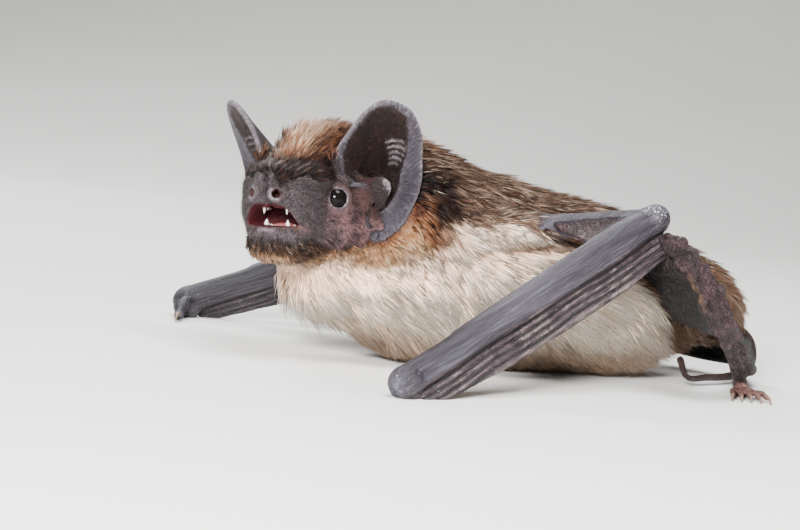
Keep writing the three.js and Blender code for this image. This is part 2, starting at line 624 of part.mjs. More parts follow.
function addLeg(name, side) {
  add(`${name}_thigh`, thighForm(side), BACK_FUR);
  add(`${name}_shin`, without(shinForm(side), thighForm(side, GAP)), MEMBRANE_SKIN);
  const ankleRoom = [shinForm(side, GAP), gatherForm(side, GAP)];
  add(`${name}_foot`, without(footForm(side), ...ankleRoom), TOE_SKIN);
  const tailSkin = without(tailMembraneForm(side), trunkForm(GAP), tailForm(GAP), ...ankleRoom);
  add(`${name}_tail_membrane`, tailSkin, MEMBRANE_SKIN);
}

addBody();
addHeadPieces();
for (const [name, side] of Object.entries(SIDES)) {
  addWing(name, side);
  addLeg(name, side);
}
add('tail', tailForm(), MEMBRANE_SKIN);

// The origin is the middle of the model's box, on the floor.
const box = new THREE.Box3().setFromObject(parts);
const middle = box.getCenter(new THREE.Vector3());
parts.position.set(-middle.x, -middle.y, -box.min.z);
const bat = new THREE.Group();
bat.add(parts);

export default bat;
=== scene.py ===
import math

import bpy
import numpy as np
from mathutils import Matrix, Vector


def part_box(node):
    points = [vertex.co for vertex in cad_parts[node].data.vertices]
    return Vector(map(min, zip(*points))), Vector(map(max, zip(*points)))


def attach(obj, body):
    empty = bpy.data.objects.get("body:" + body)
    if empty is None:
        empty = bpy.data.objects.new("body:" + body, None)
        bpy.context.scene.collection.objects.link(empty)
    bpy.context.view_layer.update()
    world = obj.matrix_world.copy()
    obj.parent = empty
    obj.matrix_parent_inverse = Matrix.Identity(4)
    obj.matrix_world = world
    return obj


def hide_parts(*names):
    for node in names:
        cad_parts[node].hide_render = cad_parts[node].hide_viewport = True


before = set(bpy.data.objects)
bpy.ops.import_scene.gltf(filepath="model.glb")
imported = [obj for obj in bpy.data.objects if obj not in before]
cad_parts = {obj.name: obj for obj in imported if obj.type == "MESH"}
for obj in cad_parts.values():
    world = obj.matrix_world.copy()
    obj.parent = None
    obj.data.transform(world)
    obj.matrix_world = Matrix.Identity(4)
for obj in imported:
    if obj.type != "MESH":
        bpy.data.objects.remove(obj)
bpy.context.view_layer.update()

import openvdb
from mathutils import Matrix, Vector
from mathutils.kdtree import KDTree

# A parti-coloured bat crouched on its folded wings and hind feet. It faces -Y, and its left side is +X.
# Shapes are worked out in millimetres in the body's own frame, which lies SHIFT away from the row's.

MM = 0.001
VOXEL = 0.2                     # step of the clay that the skin is cut from
FAR = 6.0                       # clay farther than this from any skin is left alone
BACK_COAT = 2.1                 # depth of the coat over the trunk
CROWN_COAT = 1.7                # depth of the coat over the crown of the head

# The head frame: its origin between the eyes, and how it is turned.
HEAD_AT = np.array([3.5, -20.6, 18.2])
HEAD_YAW, HEAD_PITCH, HEAD_ROLL = (math.radians(angle) for angle in (38, 1, 4.3))
EYE = {"f": 0.5, "l": 4.5, "u": -0.25, "radius": 1.35}
LID = {"rise": 0.94, "ring": 1.1, "thick": 0.2}      # round the visible part of each eye
EYE_LOOK = np.array([0.62, 0.78, 0.04])                # the way the left eye looks, in the head frame
NOSTRIL = {"f": 7.15, "l": 1.28, "u": -0.1, "ring": 0.76, "thick": 0.21, "hole": 0.54}
NOSTRIL_LOOK = np.array([0.86, 0.5, 0.1])

# Trunk outline to the tips of the fur: place along Y, height of the middle, half width, half height.
TRUNK = np.array([
    (-22.2, 11.9, 2.4, 1.9), (-20.2, 12.2, 6.2, 5.2), (-16, 13.6, 8.7, 9.2), (-11, 14.3, 9.9, 12),
    (-5, 13.1, 10.8, 12.6), (4, 11.8, 11.3, 11.3), (13, 10.9, 11.2, 10.4), (21, 10.4, 10, 9),
    (28.5, 9.8, 7.6, 6.6), (33.8, 8.6, 5.2, 4.7), (36.6, 7.4, 2.2, 2),
])
# Head outline in its frame: place, half width, top, bottom, and how far each ring leans back below the eyes.
SKULL = np.array([
    (-12, 2.4, 2.2, -4.2, 0), (-10.6, 5.2, 5.8, -6.8, 0), (-8, 7, 8.2, -8.2, 0), (-5, 7.4, 9, -8.8, 0),
    (-2.2, 6.8, 8.6, -8.7, .02), (-0.3, 5.5, 7.4, -8.5, .06), (1.5, 5, 5.3, -8.3, .1),
    (3.3, 4.9, 3.7, -8, .14), (5.2, 4.4, 2.9, -7.6, .18), (6.8, 3.2, 2.3, -6.8, .2),
    (7.7, 1.8, 1.4, -4.6, .2),
])
SKULL_POWER = 2 / 0.86
SKULL_MIDDLE = 0.52

# Rim of the left ear in the head frame, from the tip down the outer edge, along the lobe and up in front.
EAR_RIM = np.array([
    (-0.5, 9.6, 10.7), (-2.8, 11.3, 9.9), (-4.7, 11.7, 7.6), (-5.9, 11.3, 4.6), (-6.5, 10.9, 1.6),
    (-5.8, 10.1, -1.4), (-4.4, 8.9, -3.8), (-3.0, 7.6, -4.7), (-2.4, 6.6, -3.6), (-3.0, 6.3, -0.6),
    (-1.8, 6.4, 1.2), (0.2, 5.9, 1.4), (1.6, 4.9, 2.9), (1.6, 5.0, 4.8), (0.9, 6.3, 7.4), (0.4, 8.0, 9.6),
])
EAR_CANAL = np.array([-5.2, 6.6, 1.4])
EAR_OUT = np.array([0.83, 0.55, -0.08])
EAR_DEPTH = 2.1
EAR_BLEND = 0.12
EAR_COLUMNS, EAR_ROWS = 190, 42          # beads round an ear and out from its canal
# Width of the flat band along the ear's rim, for places round the rim that start at the tip.
EAR_BAND = np.array([
    (0, .6), (.06, .75), (.09, 1.6), (.12, 2.4), (.17, 2.7), (.2, 2.7), (.3, 2.4), (.36, 2.9), (.42, 3.5),
    (.46, 2.6), (.5, 1.3), (.54, 1.0), (.6, .5), (.66, .6), (.72, 1.2), (.78, 1.25), (.83, .6), (.88, .32),
    (.95, .35), (1, .6),
])
# How each ear is held: degrees forward, shift outward, outward for each mm up, and height.
EAR_POSE = {1: (0, 0, 0, 1), -1: (8, 1.2, 0.08, 0.95)}
TRAGUS = np.array([(-4.6, 7.1, -0.9), (-3.8, 7.5, 0.6), (-3.1, 7.9, 2.2)])

# Joints of each side, and the way its toes and thumb point. Keys are 1 for the left and -1 for the right.
LIMBS = {
    1: {"shoulder": (7, -3.5, 15.5), "elbow": (14.2, 16.8, 19.2), "wrist": (27.6, -15.2, 1.7),
        "hip": (6, 28, 9.6), "knee": (18.2, 23.2, 10.6), "ankle": (11.6, 31.4, 1.3),
        "toes": (1.0, -0.3), "thumb": (-0.97, 0.2)},
    -1: {"shoulder": (-7, -5.5, 15.5), "elbow": (-15, 12, 18.8), "wrist": (-28, -24, 2.2),
         "hip": (-6, 28, 9.6), "knee": (-18, 22.4, 10.2), "ankle": (-12.6, 30.8, 1.3),
         "toes": (-0.93, 0.3), "thumb": (0.9, -0.44)},
}
BLADE_FACE = (0.936, -0.341, 0.087)                    # the way the folded left wing's outer face looks
FINGER_DOWN, FINGER_STEP, FINGERS = 2.0, 0.75, 4       # the folded fingers below the forearm
FINGER_FAN = ((0.01, 0.2, 0.45, 0.72, 0.985), (0.85, 1, 1, 0.95, 0.75))     # how far they spread along it
TAIL = np.array([(0, 34.5, 6.6), (0.3, 37.9, 4.6), (1.4, 38, 2.2), (4, 34.6, 1.1), (6.8, 29.6, 1),
                 (8.9, 25.8, 1.3), (9.3, 24.6, 3.2)])

SKIN_TRIANGLES = 194_000        # the skin is thinned to about this many
TUFTS = 138_000                 # wanted number of tufts; the even spread gives some more
COAT_PIECE = 19_900             # tufts in one piece of the coat, at ten triangles each
SMALL_CLUMP, BIG_CLUMP = 0.6, 2.6                      # how far apart clumps of tufts lie
# How much tufts differ by small clump, by big clump and each by itself. Turns are in degrees.
TURN_SPREAD, STAND_SPREAD = (9, 7, 8), (0.16, 0.12, 0.12)
# The same without the big clumps.
LENGTH_SPREAD, SHADE_SPREAD = (0.09, 0.17), (0.14, 0.24)
FACE_TUFT, HEAD_TUFT, TRUNK_TUFT = 0.09, 0.11, 0.135   # how wide tufts are
SHORT_COAT = 2.2                # where the coat is shorter than this, its tufts are as fine as the face's
SLEEVE_COAT, SLEEVE_STAND = 2.2, 11.0                  # length and stand of the coat on the upper arm
UNWRAP_PATCH = 0.003            # how much of its piece's unwrap one tuft takes up
TUFT_POINTS = 7                 # a ring of three at the root, another at the bend, and the tip
CELLS_ACROSS = 4001             # more cells than the body has in any direction
PROBE = 0.12                    # how far under the surface the clay is asked which part it is
STREAK_STRETCH = (0.16, 1, 1)   # the streaks of a wing run down it
SLEEVE_END = 3.6                # the coat covers the upper arm in front of here
# Golden patches below and behind the ears.
COLLAR = np.array([(8.4, -8.6, 14.0), (8.1, -10.6, 12.2), (7.4, -13.0, 11.6),
                   (-8.6, -9.0, 14.0), (-8.2, -11.2, 12.2), (-7.6, -13.4, 11.6)])
# Height of the border between brown back and white belly, for places along Y.
DIVIDE = np.array([(-22, 13), (-14, 11.5), (-11, 10.6), (-7.7, 12.4), (-5, 15.4), (-1.5, 16.4), (2, 16.4),
                   (12, 14.6), (18, 12.0), (22, 9.5), (24, 5), (27, 2), (37, 0)])
CAMERA = {"angles": (70, 5, 6), "reach": 260.0, "target": (0, -7.3075, 10.8883), "lens": 102.96}
DUST = (0.62, 0.63, 0.66, 1)

# Parts of the skin, kept for every point of it.
TRUNK_SKIN, HEAD_SKIN, EAR, TRAGUS_SKIN, ARM, FINGER, MEMBRANE, LEG, FOOT = range(9)
TAIL_SKIN, LIP, LIDS, NOSE, MOUTH_INSIDE, NOSTRIL_INSIDE, LOBE, RIDGE, TRAGUS_RIM = range(9, 18)
# The finish of each part. Where two meet, a face takes the later one.
SKIN_FINISHES = {
    "under_coat": (TRUNK_SKIN,),
    "face_skin": (HEAD_SKIN, NOSE, LIP, LIDS, MOUTH_INSIDE, NOSTRIL_INSIDE),
    "ear_skin": (EAR, LOBE, RIDGE, TRAGUS_SKIN, TRAGUS_RIM),
    "wing_skin": (ARM, FINGER),
    "membrane_skin": (MEMBRANE, LEG, TAIL_SKIN),
    "toe_skin": (FOOT,),
}


# ---- small tools ----

def head_axes():
    """The head's forward, left and up, as the rows of a matrix."""
    yaw, pitch, roll = HEAD_YAW, HEAD_PITCH, HEAD_ROLL
    forward = np.array([math.sin(yaw) * math.cos(pitch), -math.cos(yaw) * math.cos(pitch), math.sin(pitch)])
    level = np.array([math.cos(yaw), math.sin(yaw), 0.0])
    upright = np.cross(forward, level)
    left = level * math.cos(roll) + upright * math.sin(roll)
    return np.array([forward, left, upright * math.cos(roll) - level * math.sin(roll)])


HEAD = head_axes()


def from_head(points):
    """Body points for points of the head frame."""
    return np.asarray(points, float) @ HEAD + HEAD_AT


def to_head(points):
    """Points of the head frame for body points."""
    return (np.asarray(points) - HEAD_AT) @ HEAD.T


def mirror(vector, side):
    """A point or way of the left half of the head, or its mirror image when side is -1."""
    return np.asarray(vector, float) * (1, side, 1)


def on_side(points, side):
    """Body points for points of the left half of the head, mirrored when side is -1."""
    return from_head(mirror(points, side))


LOW_EYE, HIGH_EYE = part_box("left_eye")
SHIFT = (np.array(LOW_EYE) + np.array(HIGH_EYE)) / 2 / MM - from_head((EYE["f"], EYE["l"], EYE["u"]))


def smooth(low, high, value):
    """0 below low, 1 above high, and an even curve between them."""
    t = np.clip((value - low) / (high - low), 0, 1)
    return t * t * (3 - 2 * t)


def spline(rows, places):
    """The rows' later columns at any places of their first column, on a natural cubic curve."""
    x, y = rows[:, 0], rows[:, 1:]
    step = np.diff(x)
    system = np.eye(len(x))
    bend = np.zeros_like(y)
    for i in range(1, len(x) - 1):
        system[i, i - 1:i + 2] = step[i - 1], 2 * (step[i - 1] + step[i]), step[i]
        bend[i] = 6 * ((y[i + 1] - y[i]) / step[i] - (y[i] - y[i - 1]) / step[i - 1])
    curve = np.linalg.solve(system, bend)
    place = np.clip(places, x[0], x[-1])
    i = np.clip(np.searchsorted(x, place) - 1, 0, len(x) - 2)
    h = step[i][..., None]
    b = ((place - x[i])[..., None]) / h
    a = 1 - b
    return a * y[i] + b * y[i + 1] + ((a**3 - a) * curve[i] + (b**3 - b) * curve[i + 1]) * h**2 / 6


def along(points, t, closed=False):
    """Points at shares t of a smooth curve through the given points."""
    points = np.asarray(points, float)
    count = len(points)
    t = np.atleast_1d(np.asarray(t, float))
    place = (t % 1 if closed else t) * (count if closed else count - 1)
    first = np.minimum(place.astype(int), count - (1 if closed else 2))
    share = (place - first)[:, None]

    def near(step):
        at = first + step
        if closed:
            return points[at % count]
        inner = points[np.clip(at, 0, count - 1)]
        inner[at < 0] = 2 * points[0] - points[1]
        inner[at >= count] = 2 * points[-1] - points[-2]
        return inner

    p = [near(step) for step in (-1, 0, 1, 2)]
    gap = [np.maximum(np.linalg.norm(p[i + 1] - p[i], axis=1, keepdims=True), 1e-4) ** 0.5 for i in range(3)]
    start = (p[1] - p[0]) / gap[0] - (p[2] - p[0]) / (gap[0] + gap[1]) + (p[2] - p[1]) / gap[1]
    end = (p[2] - p[1]) / gap[1] - (p[3] - p[1]) / (gap[1] + gap[2]) + (p[3] - p[2]) / gap[2]
    start, end = start * gap[1], end * gap[1]
    s2, s3 = share**2, share**3
    return ((2 * s3 - 3 * s2 + 1) * p[1] + (s3 - 2 * s2 + share) * start
            + (3 * s2 - 2 * s3) * p[2] + (s3 - s2) * end)


def patches(points, size, seed):
    """A smooth even variation from 0 to 1, in patches of about the given size."""
    return 0.5 + 0.5 * np.clip(wander(points, size, seed), -1, 1)


def unit(vectors):
    vectors = np.asarray(vectors, float)
    return vectors / np.maximum(np.linalg.norm(vectors, axis=-1, keepdims=True), 1e-9)


def between(start, end, share):
    """Points on the straight way from start to end."""
    share = np.asarray(share, float)[..., None]
    return np.asarray(start, float) * (1 - share) + np.asarray(end, float) * share


def mix(first, second, share):
    """Rows of first and second, mixed by one share for each row."""
    return first + (second - first) * np.asarray(share)[..., None]


def mix_values(first, second, share):
    """Single numbers, mixed by share."""
    return first + (second - first) * share


# ---- clay: the skin as a field of distances ----

class Clay:
    """Distances to the skin on a regular grid, negative inside the animal, and the part at each point."""

    def __init__(self, low, high):
        self.low = np.asarray(low, float)
        shape = np.ceil((np.asarray(high) - self.low) / VOXEL).astype(int)
        self.axes = [self.low[i] + VOXEL * np.arange(shape[i]) for i in range(3)]
        self.depth = np.full(shape, FAR, np.float32)
        self.part = np.zeros(shape, np.uint8)

    def window(self, low, high):
        start = np.maximum(np.floor((np.asarray(low) - self.low) / VOXEL).astype(int), 0)
        stop = np.minimum(np.ceil((np.asarray(high) - self.low) / VOXEL).astype(int) + 1, self.depth.shape)
        return tuple(slice(a, b) for a, b in zip(start, stop))

    def grid(self, window):
        x, y, z = (axis[cut] for axis, cut in zip(self.axes, window))
        return x[:, None, None], y[None, :, None], z[None, None, :]

    def beads(self, centres, radii, reach=1.2):
        """The window and distances of many overlapping balls, which sheets and limbs are made of."""
        centres = np.asarray(centres, float).reshape(-1, 3)
        radii = np.broadcast_to(np.asarray(radii, float), len(centres))
        window = self.window(centres.min(0) - radii.max() - reach, centres.max(0) + radii.max() + reach)
        x, y, z = (axis[cut] for axis, cut in zip(self.axes, window))
        block = np.full((len(x), len(y), len(z)), FAR, np.float32)
        corner = np.array([x[0], y[0], z[0]])
        for centre, radius in zip(centres, radii):
            span = radius + reach
            start = np.maximum(np.ceil((centre - span - corner) / VOXEL).astype(int), 0)
            stop = np.floor((centre + span - corner) / VOXEL).astype(int) + 1
            (i, j, k), (ii, jj, kk) = start, stop
            gap = ((x[i:ii, None, None] - centre[0]) ** 2 + (y[None, j:jj, None] - centre[1]) ** 2
                   + (z[None, None, k:kk] - centre[2]) ** 2)
            spot = block[i:ii, j:jj, k:kk]
            np.minimum(spot, np.sqrt(gap) - radius, out=spot)
        return window, block

    def add(self, window, block, blend, part):
        here = self.depth[window]
        self.part[window][block < here] = part
        share = np.clip(0.5 + 0.5 * (block - here) / blend, 0, 1)
        here[...] = block * (1 - share) + here * share - blend * share * (1 - share)

    def carve(self, window, block, blend, part):
        here = self.depth[window]
        self.part[window][-block > here] = part
        share = np.clip(0.5 - 0.5 * (here + block) / blend, 0, 1)
        here[...] = here * (1 - share) - block * share + blend * share * (1 - share)

    def balls(self, centres, radii, blend, part):
        self.add(*self.beads(centres, radii), blend, part)

    def hollow(self, centres, radii, blend, part):
        self.carve(*self.beads(centres, radii), blend, part)

    def cord(self, points, radii, blend, part, step=0.22):
        """A smooth cord along the points, with radii given along it."""
        self.balls(*bead_line(points, radii, step), blend, part)


def bead_line(points, radii, step=0.22, closed=False):
    """Beads along a smooth curve, with radii given along it."""
    rough = along(points, np.linspace(0, 1, 60), closed)
    length = np.linalg.norm(np.diff(rough, axis=0), axis=1).sum()
    t = np.linspace(0, 1, max(int(length / step), 2))
    radii = np.atleast_1d(radii)
    return along(points, t, closed), np.interp(t, np.linspace(0, 1, len(radii)), radii)


def bead_sheet(place, thick, step=0.24):
    """Beads over the sheet place(u, v), u and v from 0 to 1. thick is a radius or a function of u, v."""
    s = np.linspace(0, 1, 12)
    u, v = np.meshgrid(s, s, indexing="ij")
    rough = place(u, v)
    across = np.linalg.norm(np.diff(rough, axis=0), axis=-1).sum(0).max()
    down = np.linalg.norm(np.diff(rough, axis=1), axis=-1).sum(1).max()
    u, v = np.meshgrid(np.linspace(0, 1, int(across / step) + 2), np.linspace(0, 1, int(down / step) + 2),
                       indexing="ij")
    radii = thick(u, v) if callable(thick) else np.full(u.shape, thick)
    return place(u, v).reshape(-1, 3), radii.ravel()


# ---- trunk and skull ----

def trunk_reach(x, y, z):
    """How far each point lies outside the furry outline of the trunk."""
    middle, wide, high = np.moveaxis(spline(TRUNK, y), -1, 0)
    below = z < middle
    side = np.abs(x / wide)
    tall = np.abs((z - middle) / high)
    level = np.sqrt(np.where(below, side**2.5, side**2) + tall**2)
    slope = np.sqrt((side / wide) ** 2 + (tall / high) ** 2) / np.maximum(level, 0.05)
    ends = np.maximum(TRUNK[0, 0] - y, y - TRUNK[-1, 0])
    return np.maximum((level - 1) / np.maximum(slope, 0.03), ends)


def skull_reach(f, l, u):
    """How far each point of the head frame lies outside the furry outline of the head."""
    lean = np.interp(f, SKULL[:, 0], SKULL[:, 4])
    back = f - lean * u
    wide, top, bottom = np.moveaxis(spline(SKULL[:, :4], back), -1, 0)
    middle = top - SKULL_MIDDLE * (top - bottom)
    tall = np.where(u > middle, top - middle, middle - bottom)
    side, high = np.abs(l / wide), np.abs((u - middle) / tall)
    level = (side**SKULL_POWER + high**SKULL_POWER) ** (1 / SKULL_POWER)
    slope = np.sqrt((side / wide) ** 2 + (high / tall) ** 2) / np.maximum(level, 0.05)
    ends = np.maximum(SKULL[0, 0] - back, back - SKULL[-1, 0])
    return np.maximum((level - 1) / np.maximum(slope, 0.03), ends)


def crown_coat(f, u):
    """Depth of the coat over the head: none on the muzzle and face, most on the crown and throat."""
    crown = smooth(3.4, -3.5, f) * smooth(0.5, 5.0, u)
    nape = smooth(-5.0, -9.0, f)
    throat = smooth(-6.4, -8.6, u) * 0.6
    return 0.12 + (CROWN_COAT - 0.12) * np.maximum(np.maximum(crown, nape), throat)


def add_trunk(clay):
    window = clay.window((-13, -24, -1), (13, 38, 28))
    x, y, z = clay.grid(window)
    y = np.broadcast_to(y, (1, y.shape[1], 1))
    belly = smooth(9, 3, z)
    coat = BACK_COAT - 0.5 * belly
    clay.add(window, (trunk_reach(x, y, z) + coat).astype(np.float32), blend=2.5, part=TRUNK_SKIN)


def head_window(clay, low, high):
    """The window round a box of the head frame, and the head's own coordinates in it."""
    corners = np.array([(f, l, u) for f in (low[0], high[0]) for l in (low[1], high[1])
                        for u in (low[2], high[2])])
    world = from_head(corners)
    window = clay.window(world.min(0), world.max(0))
    x, y, z = clay.grid(window)
    place = [sum(HEAD[i][j] * (axis - HEAD_AT[j]) for j, axis in enumerate((x, y, z))) for i in range(3)]
    return window, [p.astype(np.float32) for p in place]


def ellipsoid(f, l, u, centre, radii):
    ways = [(value - at) / radius for value, at, radius in zip((f, l, u), centre, radii)]
    level = np.sqrt(sum(way**2 for way in ways))
    slope = np.sqrt(sum((way / radius) ** 2 for way, radius in zip(ways, radii)))
    return (level - 1) * level / np.maximum(slope, 1e-3)


def mouth_reach(f, l, u):
    """Outside distance of the open mouth: an arch over a level lower lip, deepest at the front."""
    aside = np.abs(l)
    floor = -3.55 + 0.02 * aside**2
    depth = 1.6 + 0.25 * aside**1.5
    return np.maximum(np.maximum(u - mouth_roof(l), floor - u), depth - f)


def add_head(clay):
    window, (f, l, u) = head_window(clay, (-13, -9, -11), (10, 9, 11))
    reach = skull_reach(f, l, u) + crown_coat(f, u)
    clay.add(window, reach.astype(np.float32), blend=2.0, part=HEAD_SKIN)
    for side in (1, -1):
        lumps = [((4.2, side * 3.0, 0.5), (2.3, 1.4, 1.9)), ((2.6, side * 3.7, 1.5), (2.1, 1.3, 1.4)),
                 ((4.3, side * 3.1, -1.9), (2.0, 1.15, 1.3)), ((-1.5, side * 5.2, -4.0), (3.4, 1.6, 2.4))]
        for centre, radii in lumps:
            low, high = np.array(centre) - np.array(radii) - 1.5, np.array(centre) + np.array(radii) + 1.5
            part, place = head_window(clay, low, high)
            clay.add(part, ellipsoid(*place, centre, radii), blend=1.2, part=HEAD_SKIN)
        clay.balls(from_head([nostril_centre(side) - (0.45, 0, 0)]), 0.95, blend=0.7, part=HEAD_SKIN)
    chin = [(5.4, 0, -5.7), (4.6, 1.6, -5.6), (4.6, -1.6, -5.6)]
    clay.balls(from_head(chin), 1.5, blend=1.2, part=HEAD_SKIN)
    add_lips_and_mouth(clay)
    for side in (1, -1):
        add_nostril(clay, side)
        add_eyelids(clay, side)
        add_cheek_folds(clay, side)


def mouth_roof(l):
    """Height of the open mouth's arch, and so of the upper lip."""
    return -1.2 - 2.3 * (np.abs(l - 0.25) / 3.3) ** 4.2


def lip_line(upper):
    """The edge of one lip from the right corner round the front to the left, in the head frame."""
    across = np.linspace(-3.45, 3.45, 25)
    aside = np.abs(across)
    front = 7.1 - 0.26 * aside**1.75 if upper else 6.6 - 0.2 * aside**1.75
    height = mouth_roof(across) if upper else -3.6 + 0.02 * aside**2
    return np.stack([front, across, height], axis=1)


def add_lips_and_mouth(clay):
    upper, lower = lip_line(True), lip_line(False)
    clay.cord(from_head(lower - (0.05, 0, 0.55)), (0.4, 0.5, 0.45, 0.5, 0.4), blend=0.3, part=LIP)
    clay.cord(from_head(upper + (-0.1, 0, 0.34)), (0.3, 0.4, 0.4, 0.4, 0.3), blend=0.4, part=HEAD_SKIN)
    window, place = head_window(clay, (1.5, -4.6, -5), (9, 4.6, 0))
    clay.carve(window, mouth_reach(*place).astype(np.float32), blend=0.25, part=MOUTH_INSIDE)
    for side in (1, -1):      # gums that the teeth stand in
        row = [(5.6, side * 0.3, -3.75), (5.1, side * 1.4, -3.75), (3.4, side * 2.3, -3.75)]
        clay.cord(from_head(row), 0.3, blend=0.25, part=MOUTH_INSIDE)
        row = [(6.0, side * 0.5, -1.15), (5.6, side * 1.4, -1.2), (3.6, side * 2.5, -1.5)]
        clay.cord(from_head(row), 0.42, blend=0.25, part=MOUTH_INSIDE)
    for ridge in range(4):    # ribs across the roof of the mouth
        row = [(4.9 - 0.75 * ridge, l, -0.95 - 0.14 * abs(l)) for l in (-1.7, 0, 1.7)]
        clay.cord(from_head(row), 0.2, blend=0.15, part=MOUTH_INSIDE)
    groove = from_head([(7.75, 0, 1.7), (7.95, 0, 0.2), (7.75, 0, -1.1)])
    clay.hollow(*bead_line(groove, 0.34), blend=0.4, part=HEAD_SKIN)


def ring_beads(centre, look, ring, thick, squash=1.0):
    """Beads round a circle that faces the way it looks, in the head frame."""
    look = unit(look)
    aside = unit(np.cross((0, 0, 1), look))
    up = np.cross(look, aside)
    turn = np.linspace(0, 2 * math.pi, 40, endpoint=False)[:, None]
    circle = np.asarray(centre) + ring * (np.cos(turn) * aside + squash * np.sin(turn) * up)
    return from_head(circle), np.full(len(circle), thick)


def add_nostril(clay, side):
    look = unit(mirror(NOSTRIL_LOOK, side))
    centre = nostril_centre(side) + 0.42 * look
    clay.balls(*ring_beads(centre, look, NOSTRIL["ring"], NOSTRIL["thick"], 0.9), blend=0.25, part=NOSE)
    hole = [centre + look * reach for reach in np.linspace(0.7, -1.3, 9)]
    clay.hollow(from_head(hole), np.linspace(NOSTRIL["hole"], 0.28, 9), blend=0.12, part=NOSTRIL_INSIDE)


def eye_centre(side):
    return np.array([EYE["f"], side * EYE["l"], EYE["u"]])


def nostril_centre(side):
    return np.array([NOSTRIL["f"], side * NOSTRIL["l"], NOSTRIL["u"]])


def add_eyelids(clay, side):
    look = unit(mirror(EYE_LOOK, side))
    centre = eye_centre(side)
    clay.hollow(from_head([centre, centre + look * 0.9]), EYE["radius"] + 0.04, blend=0.3, part=LIDS)
    lid = ring_beads(centre + look * LID["rise"], look, LID["ring"], LID["thick"], 0.93)
    clay.balls(*lid, blend=0.35, part=LIDS)
    outer = ring_beads(centre + look * (LID["rise"] - 0.5), look, LID["ring"] + 0.42, 0.3)
    clay.balls(*outer, blend=0.6, part=HEAD_SKIN)
    clay.hollow(from_head([centre]), EYE["radius"] + 0.02, blend=0.05, part=LIDS)


def add_cheek_folds(clay, side):
    """Soft folds that run from the corner of the mouth to the lobe of the ear."""
    folds = [
        [(3.4, 4.2, -2.9), (1.6, 4.9, -3.0), (-0.4, 5.6, -3.1), (-2.2, 6.3, -2.9)],
        [(3.2, 4.3, -3.9), (1.2, 5.0, -4.2), (-0.6, 5.8, -4.2), (-2.4, 6.6, -3.9)],
        [(1.4, 5.0, -2.0), (-0.2, 5.6, -1.7), (-1.8, 6.1, -1.2)],
        [(2.6, 4.5, -4.9), (0.4, 5.3, -5.3), (-1.6, 6.2, -5.2), (-3.2, 6.8, -4.9)],
    ]
    for fold in folds:
        points = on_side(fold, side)
        clay.cord(points, (0.05, 0.28, 0.36, 0.28, 0.05), blend=0.35, part=HEAD_SKIN)
    for turn in (0, 1):       # fine folds round the eye
        arc = np.linspace(-2.3 + 0.35 * turn, -0.2, 9)
        ring = 1.75 + 0.55 * turn
        row = [(EYE["f"] + 0.15 - 0.84 * ring * math.cos(a), EYE["l"] + 0.35 + 0.5 * ring * math.cos(a),
                EYE["u"] + ring * math.sin(a)) for a in arc]
        points = on_side(row, side)
        clay.cord(points, (0.05, 0.2, 0.22, 0.2, 0.05), blend=0.3, part=HEAD_SKIN)


# ---- ears ----

def band_start(turn, rim):
    """The share of the way from the canal at which the flat band along the ear's rim starts."""
    width = np.interp(turn % 1, EAR_BAND[:, 0], EAR_BAND[:, 1])
    return 1 - width / np.maximum(np.linalg.norm(rim - EAR_CANAL, axis=-1), 2 * width)


def ear_point(side, reach, turn, lift=0.0):
    """Points of an ear: reach runs from 0 in the canal to 1 at the rim, turn goes once round the rim."""
    reach, turn = np.broadcast_arrays(np.asarray(reach, float), np.asarray(turn, float))
    rim = along(EAR_RIM, turn.ravel(), closed=True).reshape(turn.shape + (3,))
    point = EAR_CANAL + (rim - EAR_CANAL) * reach[..., None]
    bowl = np.cos(np.minimum(reach / band_start(turn, rim), 1) * math.pi / 2) ** 1.4
    point = point + EAR_OUT * (lift - EAR_DEPTH * bowl)[..., None]
    degrees, shift, lean, height = EAR_POSE[side]
    c, s = math.cos(math.radians(-degrees)), math.sin(math.radians(-degrees))
    f, l, u = np.moveaxis(point - EAR_CANAL, -1, 0)
    turned = np.stack([c * f - s * l, s * f + c * l + shift + lean * u, u * height], axis=-1) + EAR_CANAL
    return from_head(turned * (1, side, 1))


def ear_frame(points):
    """Places measured from the nearer ear's canal: out of its bowl, across it and up it."""
    place = to_head(points)
    place[:, 1] = np.where(place[:, 1] < 0, -place[:, 1] - EAR_POSE[-1][1], place[:, 1])
    wide = unit(np.cross(EAR_OUT, (0, 0, 1)))
    ways = np.array([unit(EAR_OUT), wide, unit(np.cross(wide, EAR_OUT))])
    return ways @ (place - EAR_CANAL).T


